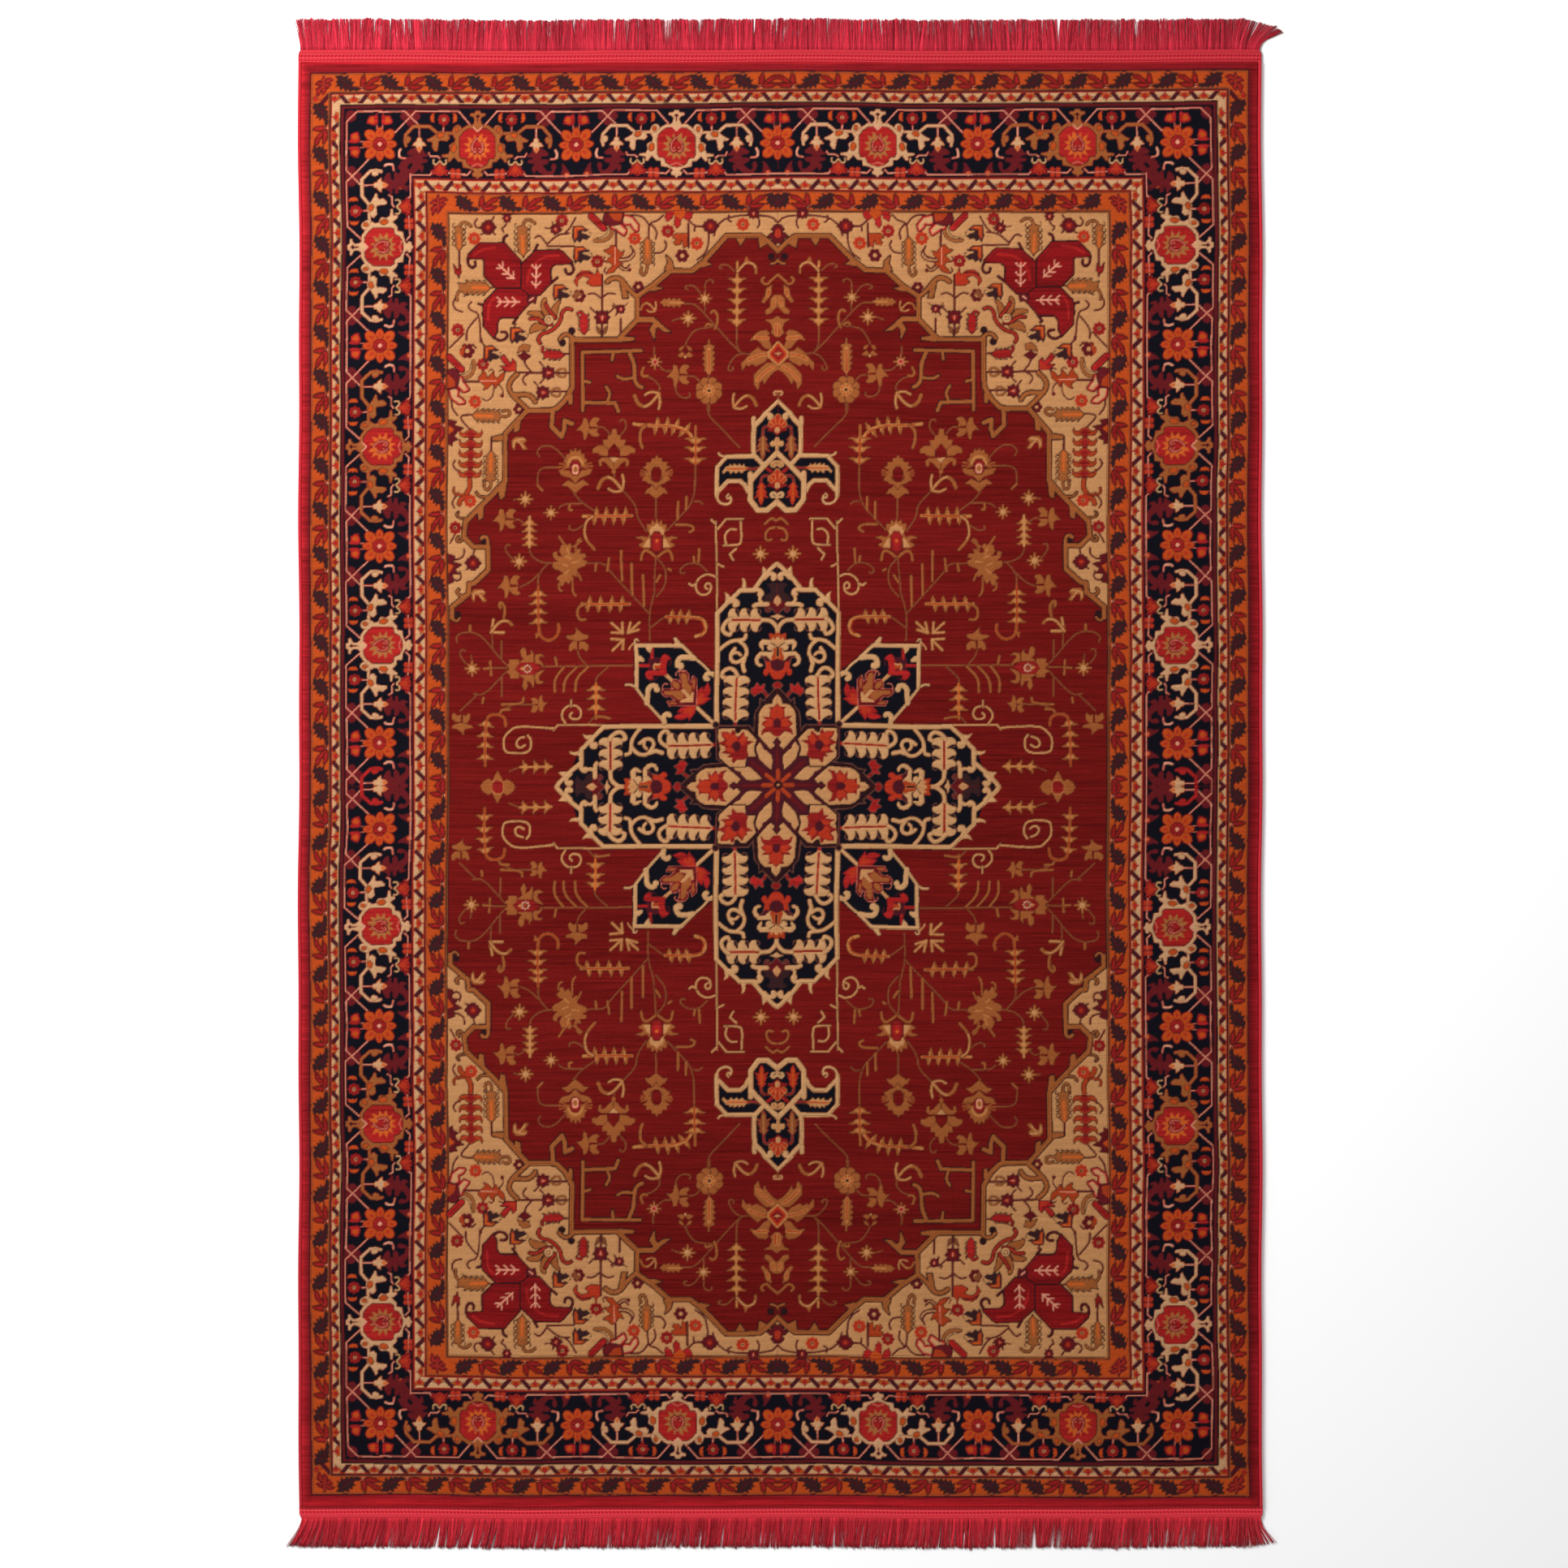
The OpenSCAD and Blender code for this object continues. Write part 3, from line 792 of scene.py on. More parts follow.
def corner_stems(p):
    """Thin wine stems that join the corner motifs."""
    for path in ([(250, 665), (284, 666)], [(284, 668), (270, 680), (256, 681)],
                 [(284, 668), (293, 680), (299, 676)], [(248, 700), (256, 686), (262, 681)],
                 [(258, 510), (322, 510)], [(303, 511), (311, 520), (311, 526)],
                 [(306, 509), (313, 505), (314, 500), (310, 495)], [(260, 487), (282, 487)],
                 [(367, 548), (369, 583), (379, 585), (384, 591), (379, 596)],
                 [(372, 577), (385, 562), (385, 550)], [(388, 558), (406, 540)],
                 [(0, 692), (9, 701), (60, 701), (76, 688)], [(24, 699), (22, 691), (25, 686)],
                 [(60, 701), (62, 696), (57, 693)], [(92, 688), (102, 688), (110, 696)],
                 [(102, 688), (103, 682)], [(110, 692), (110, 662)],
                 [(140, 702), (148, 694), (158, 692), (159, 672)], [(158, 690), (166, 701), (180, 702)],
                 [(155, 690), (148, 682), (150, 672)], [(80, 690), (77, 683), (79, 676)],
                 [(86, 684), (85, 672), (88, 656), (100, 647)],
                 [(139, 670), (136, 664), (141, 656), (150, 655)],
                 [(181, 664), (177, 657), (183, 650), (193, 649)], [(182, 641), (187, 636), (193, 641)],
                 [(216, 553), (216, 630)], [(216, 600), (226, 608), (233, 606)],
                 [(216, 602), (208, 608), (200, 606)], [(203, 592), (196, 587), (199, 580)],
                 [(258, 533), (266, 533)], [(366, 583), (362, 572)],
                 [(332, 700), (336, 690), (341, 688), (338, 683)], [(350, 702), (354, 696)],
                 [(364, 688), (373, 688), (376, 694), (372, 699)], [(349, 680), (354, 685)],
                 [(362, 682), (368, 680)], [(395, 660), (395, 626)], [(347, 615), (358, 614)],
                 [(314, 652), (314, 658)], [(376, 458), (396, 457), (380, 440)],
                 [(396, 457), (403, 466), (404, 480)], [(353, 430), (353, 413)], [(193, 576), (193, 553)],
                 [(353, 536), (365, 546), (366, 552)], [(375, 284), (373, 292)], [(384, 268), (378, 270)],
                 [(386, 293), (386, 285), (394, 280), (400, 280)],
                 [(392, 265), (390, 257), (396, 253), (402, 257)], [(397, 312), (404, 300)],
                 [(393, 362), (402, 350), (398, 343)], [(398, 402), (402, 396), (394, 388), (388, 386)],
                 [(322, 570), (326, 560)], [(377, 545), (373, 541)], [(265, 686), (276, 692), (277, 695)],
                 [(398, 603), (403, 594), (399, 586), (390, 584)]):
        p.line(path, 2.5, "twig")


def red_tree(p, x, top):
    """Red stem with five pairs of drooping, hooked limbs."""
    for k in range(5):
        q = p.at(x, top - 12.5 * k)
        half = [(0, 5), (4, 3), (8, 0), (12, 0), (14, 4), (14.5, 0), (12, -4), (7, -5), (2.5, -4), (2, -8)]
        q.shape(half + [(-x, y) for x, y in reversed(half)], "rust", "dark", 1.0)
        q.shape([(0, 4), (4, 1), (8, -2), (3, -3), (2, -8), (-2, -8), (-3, -3), (-8, -2), (-4, 1)], "brick")
    p.cased([(x, top - 58), (x - 1, top - 68), (x + 5, top - 77), (x + 12, top - 83), (x + 13, top - 88)],
            4.6, "rust", "dark", 1.1)
    p.cased([(x + 6, top - 76), (x + 15, top - 77), (x + 21, top - 74), (x + 20, top - 68)], 1.8, "rust",
            "dark", 1.0)


def corner_piece(p):
    """Everything inside the tan contour band of a corner piece."""
    corner_stems(p)
    three_lobes(p)
    plume(p, [(314, 655), (315, 664), (315, 690), (311, 698), (304, 698), (299, 694)], 8, 5, 0.62, 3.4)
    plume(p, [(395, 661), (396, 688), (391, 695), (384, 694), (380, 690)], 6, 4, 0.6, 3.4)
    plume(p, [(357, 614), (385, 615), (394, 611), (398, 604), (397, 598)], 9, 5, 0.7, 2.0)
    plume(p, [(376, 457), (342, 457), (333, 456), (329, 461), (333, 465), (339, 463)], 8, 5, 0.56, 2.0)
    plume(p, [(353, 413), (353, 380), (352, 370), (356, 365), (361, 369), (360, 375)], 8, 5, 0.6, 3.0)
    plume(p, [(160, 673), (160, 645), (160, 634), (164, 627), (169, 631), (167, 637)], 7, 5, 0.55, 3.0)
    red_tree(p, 379, 436)
    plume(p, [(238, 558), (238, 579), (241, 585), (246, 582)], 6, 4, 0.7, 2.0, "red", None)
    plume(p, [(264, 532), (284, 532), (290, 536), (289, 541)], 6, 4, 0.72, 2.0, "red", None)
    for x, y, yarn in ((43, 690, "scarlet"), (100, 667, "scarlet"), (176, 673, "scarlet"),
                       (376, 675, "scarlet"), (374, 474, "scarlet"), (378, 352, "scarlet"),
                       (135, 682, "brick"), (265, 697, "brick"), (222, 646, "brick"), (364, 521, "brick"),
                       (396, 562, "brick"), (397, 319, "brick")):
        floret(p, x, y, 8.2, yarn, "cream", "dark")
    for x, y, r in ((83, 688, 9), (358, 689, 9), (375, 276, 9)):
        wine_flower(p, x, y, r)
    for x, y, r in ((118, 652, 8), (171, 614, 7), (319, 466, 7), (384, 537, 9), (244, 604, 8)):
        ring_flower(p, x, y, r)
    p.shape([(386, 545), (391, 540), (394, 534), (390, 529), (388, 536)], "rust")
    p.shape([(240, 606), (246, 611), (251, 606), (249, 598), (245, 603)], "umber")
    side_tulip(p, 282, 510, 0)
    side_tulip(p, 289, 486, 0)
    side_tulip(p, 216, 577, 90, 1.1, False)
    side_tulip(p, 193, 587, 90, 0.7, False)
    side_tulip(p, 30, 703, 90, 0.8, False)
    side_tulip(p, 273, 686, 60, 0.8, False)
    side_tulip(p, 334, 700, 90, 0.7, False)
    for x, y, turn in ((244, 682, 0), (243, 657, 0), (268, 611, 0), (321, 558, 0), (355, 536, 0)):
        split_leaf(p, x, y, turn)
    for s in (1, -1):
        p.shape([(216 + s, 556), (216 + 5 * s, 559), (216 + 7 * s, 567), (216 + 3 * s, 564)], "umber",
                "dark", 0.8)
    p.shape([(111, 679), (126, 679), (129, 674), (124, 672), (128, 668), (126, 665), (120, 666), (118, 673),
             (116, 662), (112, 664)], "rust", "dark", 0.9)
    p.shape([(119, 700), (120, 690), (124, 686), (127, 690), (126, 700)], "red", "dark", 0.8)
    p.shape([(104, 706), (106, 699), (110, 695), (117, 700), (117, 706)], "red", "dark", 0.8)
    p.shape([(127, 706), (130, 698), (136, 694), (138, 700), (136, 706)], "red", "dark", 0.8)
    p.shape([(112, 704), (119, 696), (128, 703), (126, 707), (114, 707)], "orange", "brick", 0.8)
    p.shape([(217, 617), (217, 629), (221, 633), (222, 637), (224, 629), (231, 634), (240, 635),
             (246, 631), (250, 622), (246, 616), (246, 624), (240, 629), (230, 626), (235, 620),
             (228, 616)], "scarlet", "dark", 1.0)
    p.line([(229, 632), (240, 633), (247, 628)], 2.0, "wine")
    p.shape([(322, 512), (322, 522), (326, 526), (328, 520), (334, 528), (337, 532), (341, 528), (337, 522),
             (331, 518), (341, 518), (334, 512)], "red", "dark", 1.1)
    p.shape([(323, 513), (323, 521), (330, 516), (334, 514)], "scarlet")
    p.shape([(304, 543), (312, 545), (317, 541), (320, 534), (312, 537), (306, 536)], "tan", "dark", 0.9)
    p.shape([(303, 530), (308, 533), (312, 536), (315, 532), (320, 531), (314, 525), (310, 525)], "wine",
            "dark", 0.6)
    p.shape([(393, 642), (397, 636), (402, 643), (400, 632), (396, 629), (392, 633)], "brick", "dark", 0.9)
    p.shape([(407, 452), (397, 450), (400, 445), (388, 442), (396, 438), (400, 432), (395, 428), (402, 425),
             (402, 420), (407, 422)], "wine", "dark", 0.7)
    p.shape([(400, 440), (407, 445), (407, 434)], "orange")
    p.shape([(407, 287), (398, 284), (400, 277), (389, 274), (398, 268), (393, 262), (402, 262), (400, 252),
             (407, 250)], "wine", "dark", 0.7)
    p.shape([(400, 272), (407, 275), (407, 262)], "orange")
    p.shape([(-1, 690), (4, 689), (8, 684), (4, 680), (9, 679), (13, 675), (8, 673), (4, 666), (-1, 668)],
            "wine", "dark", 0.9)
    p.shape([(-1, 686), (3, 683), (4, 676), (-1, 672)], "scarlet")
    spiral_flower(p)
    side_palmette(p.at(407, 505))
    side_palmette(Pen(p.loom, p.matrix @ np.array([[0, 1], [1, 0]]), p.place([(205, 702)])[0]))
    bracket_frame(p)


# -------------------------------------------------------------- red field
def field_rosette(p, x, y, r):
    """Eight round petals with a dotted ring in the middle."""
    q = p.at(x, y)
    for k in range(8):
        w = q.at(0, 0, 22.5 + 45 * k)
        w.shape([(0.3 * r, -0.2 * r), (0.75 * r, -0.38 * r), (r, 0), (0.75 * r, 0.38 * r),
                 (0.3 * r, 0.2 * r)], "tan", "bark", 0.8, True)
    q.disc(0, 0, 0.42 * r, "gold")
    for k in range(8):
        q.at(0, 0, 22.5 + 45 * k).disc(0.3 * r, 0, 1.3, "rust")
    q.disc(0, 0, 1.8, "dark")


def leafy(p, outline, veins=()):
    """A serrated flower or leaf from its outline, with pale veins."""
    p.shape(outline, "tan", "bark", 0.7)
    for path in veins:
        p.line(path, 1.7, "gold", False)


def folded(half):
    """Half an outline about x = 0, top to bottom, made whole."""
    return half + [(-x, y) for x, y in reversed(half)]


def octagon(p, x, y, w, h, yarn, edge):
    """Upright shape of eight sides, w and h from its middle to its sides."""
    ring = [(-w, -h / 2), (-w, h / 2), (-w / 2, h), (w / 2, h), (w, h / 2), (w, -h / 2), (w / 2, -h),
            (-w / 2, -h)]
    p.at(x, y).shape(ring, yarn, edge, 0.8)


def tuft(p, x, y, tips):
    """Thin tan fingers on both sides of a palmette."""
    for q in p.pair():
        for tip in tips:
            q.line([(x, y), (0.6 * (x + tip[0]), tip[1]), tip], 1.5, "tan")


def palmettes(p):
    """The large palmettes of the red ground."""
    q = p.at(148, 385)
    leafy(q, folded([(0, -20), (5, -14), (7, -17), (11, -19), (14, -25), (9, -24), (5, -27), (0, -31)]))
    leafy(q,
          folded([(0, -7), (6, -5), (9, -1), (18, -8), (13, -9), (10, -12), (5, -13), (2, -16),
                  (0, -20)]))
    leafy(q, folded([(0, 23), (2, 19), (6, 19), (7, 14), (13, 14), (12, 10), (17, 8), (12, 5), (10, 1),
                     (6, -8)]))
    tuft(q, 9, 0, ((19, 4), (20, 1), (19, -2), (16, -5)))
    octagon(q, 0, -1, 5.6, 8.6, "field", "bark")
    q = p.at(201, 412)
    leafy(q, folded([(0, -12), (5, -8), (15, -8), (19, -11), (18, -18), (15, -18), (15, -12), (10, -14),
                     (6, -19), (0, -24)]))
    for w in q.pair():
        leafy(w, [(7, 4), (10, 7), (20, 7), (26, 3), (26, -2), (20, -2), (17, -5), (8, -6)])
    leafy(q, folded([(0, 28), (3, 27), (3.5, 20), (8, 19), (8, 14), (14, 14), (13, 8), (7, 2), (0, -8)]))
    q.shape([(-6, 2), (0, 9), (6, 2), (6, -5), (4, -8), (-4, -8), (-6, -5)], "field", "bark", 0.6)
    q.shape([(-6, -8), (6, -8), (0, -14)], "cream", "bark", 0.4)
    q.line([(0, -14), (0, -23)], 0.9, "bark", False)
    q.disc(0, -25, 2.6, "tan")
    q = p.at(248, 393)
    leafy(q, folded([(0, -20), (5, -17), (9, -15), (17, -21), (10, -22), (6, -26), (0, -31)]))
    leafy(q, folded([(0, -7), (6, -4), (10, -3), (20, -4), (17, -9), (10, -11), (6, -12), (0, -19)]))
    leafy(q,
          folded([(0, 24), (2, 19), (6, 22), (7, 16), (11, 16), (11, 11), (15, 8), (10, 4), (8, 0),
                  (0, -4)]))
    q.line([(-9, 4), (-6, 11), (0, 13), (6, 11), (9, 4)], 3.0, "gold")
    tuft(q, 8, 2, ((20, 5), (21, 1), (20, -3)))
    octagon(q, 0, 0, 6.2, 8.6, "brick", "bark")
    octagon(q, 0, -2, 4.2, 6.0, "blush", "brick")
    octagon(q, 0, -2, 2.0, 3.2, "tan", "gold")
    q = p.at(147, 305)
    for w in q.pair():
        w.cased([(2, -22), (8, -17), (14, -14), (18, -18), (19, -26)], 3.0, "tan", "bark", 0.6)
        leafy(w, [(8, 6), (12, 1), (18, 3), (27, 1), (19, -1), (16, -4), (23, -8), (16, -12), (8, -12)])
        w.shape([(8, 1), (12, -2), (14, -6), (17, -10), (8, -11)], "sand")
    leafy(q, folded([(0, 25), (2, 19), (6, 23), (7, 17), (12, 18), (12, 11), (9, 6), (0, 4)]))
    q.shape(folded([(0, 19), (3, 15), (7, 14), (9, 9), (8, 4), (0, 6)]), "sand")
    octagon(q, 0, -4, 6.8, 12, "brick", "bark")
    octagon(q, 0, -5, 3.4, 6.0, "red", "brick")
    q.disc(0, -3, 1.8, "amber")
    leafy(p, [(233, 277), (236, 272), (242, 270), (247, 267), (243, 261), (247, 258), (252, 261),
              (254, 254), (257, 249), (261, 253), (264, 247), (269, 248), (268, 253), (272, 256),
              (268, 261), (263, 262), (268, 266), (274, 268), (277, 272), (276, 277), (270, 277),
              (275, 282), (276, 288), (271, 290), (270, 284), (264, 283), (268, 290), (266, 296),
              (262, 301), (258, 297), (255, 300), (252, 296), (255, 289), (250, 287), (247, 292),
              (241, 293), (243, 287), (236, 287), (234, 283), (240, 281)],
          ([(258, 293), (256, 286)], [(254, 281), (260, 284)], [(264, 274), (258, 272)],
           [(257, 266), (262, 262)], [(244, 277), (252, 276)]))
    for path in ([(248, 291), (246, 302), (242, 305)], [(262, 299), (268, 308)],
                 [(252, 257), (252, 240), (248, 235)], [(245, 262), (241, 254)],
                 [(269, 250), (269, 243), (265, 241)], [(250, 295), (240, 303)]):
        p.cased(path, 2.4, "tan", "bark", 0.5)
    for leaf in ([(286, 149), (292, 152), (298, 153), (299, 159), (297, 164), (291, 164.5), (286, 161),
                  (292, 162), (294, 158), (290, 154)], [(300, 154), (300, 164), (304, 169.5), (303.5, 164),
                                                         (309, 162), (310, 170), (313, 172.5), (317, 169),
                                                        (316, 162), (312.5, 158), (319, 154)],
                 [(318, 153), (319, 157.5), (331, 157.5), (330.5, 152), (335, 150.5), (330.5, 148),
                  (330.5, 145), (335, 142), (329.5, 139), (329.5, 134.5), (319, 134.5), (318, 139.5),
                  (323.5, 146)], [(300, 138.5), (299.5, 127), (301, 122.5), (304, 129.5), (309, 131),
                                  (307.5, 125), (311, 118.5), (314.5, 125), (312, 134), (319, 138.5)],
                 [(286, 145), (293, 143), (298, 139.5), (299, 134), (297, 128), (292, 127), (286, 130),
                  (293, 131), (294, 136), (290, 141)]):
        leafy(p, leaf)
    p.shape([(291.5, 147), (299, 153.5), (317, 153.5), (323, 146.5), (317, 139), (299, 139)], "brick")
    q = p.at(308, 146)
    q.disc(0, 0, 5.4, "dark")
    for k in range(8):
        q.at(0, 0, 45 * k).disc(4.2, 0, 1.3, "blush")
    q.disc(0, 0, 2.0, "rust")
    p.shape([(313, 149.5), (318, 146.5), (313, 143.5)], "gold")
    for x, y, tips in ((184, 189, ((170, 202), (181, 202), (171, 193))),
                       (190, 189, ((204, 202), (191, 202), (204, 190))),
                       (189, 181, ((202, 168), (190, 169), (204, 182))),
                       (353, 191, ((350, 207), (337, 191)))):
        for yarn, width in (("bark", 5.0), ("tan", 3.8), ("sand", 1.6)):
            for tip in tips:
                p.line([(x, y), tip], width, yarn, False)
    p.cased([(353, 191), (346, 201), (338, 206), (331, 205), (327, 201)], 4.0, "tan", "bark", 0.6)
    p.line([(353, 191), (346, 201), (338, 206), (332, 205)], 1.7, "sand")
    p.cased([(337, 209), (335, 217), (336, 225), (341, 229), (343, 225), (341, 221)], 2.8, "tan", "bark",
            0.6)
    p.shape([(322, -1), (326, 6), (333, 10), (338, 7), (341, 13), (345, 20), (349, 13), (352, 7),
             (357, 10), (364, 6), (368, -1)], "tan", "bark", 0.7)
    octagon(p, 345, 1, 7, 7, "brick", "gold")


def split_palm(p, x, y, turn=0.0, size=1.0):
    """Tan leaf of three lobes, pointing along its own x axis."""
    q = p.at(x, y, turn, 1, size)
    for lobe in ([(-10, 1), (-8, 6), (-12, 11), (-9, 13), (-4, 13), (0, 8), (0, 2)],
                 [(-10, -1), (-8, -5), (-12, -9), (-9, -11), (-3, -10), (1, -6), (1, -1)],
                 [(1, 3), (4, 12), (8, 13), (9, 6), (13, 1), (17, -3), (12, -2), (8, -5), (7, -15),
                  (4, -13), (2, -6), (1, -2)]):
        q.shape(lobe, "tan", "bark", 0.6)


def fan_leaf(p, x, y):
    """Small bright leaf of three fingers."""
    q = p.at(x, y)
    q.shape([(-9, 4), (-5, 8), (5, 8), (9, 3), (8, -5), (5, -9), (4, 0), (-1, 0), (-6, -8), (-11, -7),
             (-6, 0), (-10, 3)], "tan", "bark", 0.6)
    q.line([(-7, 5), (0, 5), (6, 3), (6, -4)], 1.8, "sand")
    q.line([(1, 4), (-6, -5)], 1.6, "sand")


def claw(p, x, y, turn=0.0, flip=1, size=1.0):
    """Leaf of three curved fingers that spring from one point."""
    q = p.at(x, y, turn, flip, size)
    fingers = (([(0, 0), (-2, 10), (0, 18)], 3.6), ([(0, -1), (10, -3), (17, 1)], 3.4),
               ([(0, 0), (10, 12), (18, 16), (26, 12), (30, 2)], 4.2))
    for path, width in fingers:
        q.line(path, width + 1.4, "bark")
    for path, width in fingers:
        q.line(path, width, "tan")
        q.line(path[:3], 1.6, "sand")


def fir(p, points, nodes, reach=11.0, core="gold", lean=1, width=3.0):
    """A spine with winged nodes; lean=1 lifts the wings' tips along the line."""
    spot = along(points)
    for colour, more in (("bark", 1.4), ("tan", 0.0)):
        p.line(points, width + more, colour)
        for share in nodes:
            here, run, out = spot(share)
            wing = [(-5, 0), (-3, 0.38), (0.5, 0.62), (2.4, 1.06), (3.4, 0.58), (2.4, 0.26), (7, 0)]
            left = [here + lean * u * run + v * reach * out for u, v in wing]
            right = [here + lean * u * run - v * reach * out for u, v in reversed(wing[1:-1])]
            p.shape(left + right, colour, colour, more / 2)
    for share in nodes:
        here, run, out = spot(share)
        wing = [(-3.6, 0), (-1.8, 0.28), (1.2, 0.5), (1.6, 0.2), (5, 0)]
        left = [here + lean * u * run + v * reach * out for u, v in wing]
        right = [here + lean * u * run - v * reach * out for u, v in reversed(wing[1:-1])]
        p.shape(left + right, "gold")
    p.line(points, width * 0.5, core)


def thorny(p, points, nodes, reach):
    """A thick spine with a rust core and curved thorns on both sides."""
    spot = along(points)
    width = 4.2
    for colour, more in (("bark", 1.4), ("tan", 0.0)):
        p.line(points, width + more, colour)
        for share in nodes:
            here, run, out = spot(share)
            for s in (1, -1):
                root = here - s * 1.5 * run
                thorn = [root - 2.6 * run, root + s * out * reach * 0.6 - 1.5 * run,
                         root + s * out * reach + 0.8 * run, root + s * out * reach * 0.55 + 2.6 * run,
                         root + 4.4 * run]
                p.shape(thorn, colour, colour, more / 2)
    p.line(points, width * 0.75, "gold")
    for share in nodes:
        here, run, out = spot(share)
        for s in (1, -1):
            p.line([here, here + s * out * reach * 0.5 + 0.4 * run], 1.5, "gold", False)
    p.line([spot(share)[0] for share in (0.0, 0.2, 0.4, 0.6, 0.8, 0.92)], 1.5, "rust", False)


def field_stems(p):
    """Thin brown stems that join the motifs of the red ground."""
    for path in ([(50, 566), (50, 540), (44, 533)], [(34, 531), (46, 532), (54, 526), (60, 516), (60, 511),
                                                      (54, 511), (54, 515)],
                 [(46, 534), (60, 548), (72, 562), (82, 573), (92, 584), (102, 594), (117, 594)],
                 [(76, 566), (92, 564), (102, 562), (110, 551), (113, 544)], [(90, 584), (89, 592)],
                 [(89, 608), (90, 618), (86, 623), (80, 622), (80, 619)],
                 [(95, 606), (103, 616), (113, 616), (115, 612), (111, 611)],
                 [(54, 633), (62, 641), (70, 641), (73, 637), (69, 636)], [(118, 577), (129, 573)],
                 [(84, 508), (85, 502)], [(86, 470), (85, 456), (70, 442), (46, 417)],
                 [(95, 498), (102, 505), (108, 505)], [(124, 492), (126, 489), (121, 480), (112, 478),
                                                       (107, 480), (108, 484)],
                 [(131, 511), (140, 511), (146, 518)], [(152, 530), (152, 540)],
                 [(148, 484), (144, 490), (148, 497), (156, 503), (166, 504)],
                 [(101, 396), (101, 350), (122, 328), (134, 315)], [(101, 350), (95, 351), (91, 347)],
                 [(148, 354), (148, 330)], [(250, 362), (240, 350), (222, 338)],
                 [(238, 349), (262, 349), (268, 344)], [(190, 365), (172, 346), (172, 332), (160, 314)],
                 [(195, 430), (186, 440), (187, 450), (192, 452), (194, 449)],
                 [(207, 434), (214, 442), (220, 442)], [(201, 387), (200, 381)],
                 [(260, 404), (275, 420), (290, 420), (296, 412), (292, 407)],
                 [(268, 394), (290, 394), (295, 386), (295, 372)],
                 [(147, 281), (136, 269), (136, 248), (148, 234)], [(148, 282), (151, 236)],
                 [(151, 238), (158, 214), (157, 180)], [(86, 265), (96, 275), (110, 275), (119, 268),
                                                        (118, 262), (113, 263)],
                 [(157, 212), (182, 240), (205, 265), (212, 276), (234, 275)],
                 [(276, 275), (292, 277), (303, 286), (304, 294)], [(283, 274), (294, 262), (294, 248)],
                 [(294, 262), (304, 252), (316, 247)], [(310, 325), (318, 331), (322, 329)],
                 [(318, 356), (324, 354)], [(325, 281), (334, 291), (333, 299), (328, 298)],
                 [(238, 322), (248, 315), (256, 317), (255, 321)], [(208, 147), (223, 134), (223, 128)],
                 [(177, 149), (290, 149)], [(233, 149), (243, 160), (245, 167)],
                 [(333, 150), (341, 158), (362, 184), (375, 191), (392, 190), (398, 184), (396, 178)],
                 [(334, 143), (362, 113), (375, 115)], [(372, 113), (392, 94)], [(340, 180), (340, 158)],
                 [(340, 136), (340, 112)], [(352, 190), (351, 170)], [(333, 147), (352, 147)],
                 [(300, 102), (330, 102), (342, 91)], [(377, 155), (378, 162)],
                 [(385, 152), (393, 162), (391, 170), (386, 168)], [(140, 208), (157, 195)],
                 [(317, 25), (330, 20)], [(223, 88), (232, 78)], [(84, 470), (84, 462)]):
        p.line(path, 2.6, "bark")
        p.line(path, 1.6, "stalk")
    for path in ([(77, 563), (74, 570), (74, 581), (78, 586), (82, 583)],
                 [(80, 567), (86, 570), (88, 567)], [(111, 340), (111, 356)], [(121, 329), (121, 350)],
                 [(123, 322), (104, 322), (100, 316), (106, 313)], [(164, 222), (164, 260)],
                 [(178, 236), (178, 274)], [(190, 254), (191, 290)], [(96, 276), (95, 292)],
                 [(101, 276), (102, 283)], [(133, 268), (130, 266)], [(148, 252), (143, 260)],
                 [(208, 266), (206, 281)], [(222, 275), (223, 266)], [(255, 348), (256, 341), (252, 341)],
                 [(295, 372), (289, 366)], [(337, 208), (336, 222), (341, 228), (342, 222)],
                 [(232, 148), (247, 134), (248, 117)], [(246, 148), (261, 133), (262, 117)],
                 [(262, 148), (274, 133), (273, 117)], [(271, 150), (273, 160)],
                 [(340, 102), (314, 103), (313, 110)], [(330, 96), (340, 96), (342, 91)],
                 [(363, 110), (364, 104)], [(380, 192), (380, 199)], [(354, 155), (353, 138)],
                 [(352, 147), (362, 146)], [(160, 505), (166, 504), (168, 509), (165, 515)]):
        p.cased(path, 2.8, "tan", "bark", 0.6)


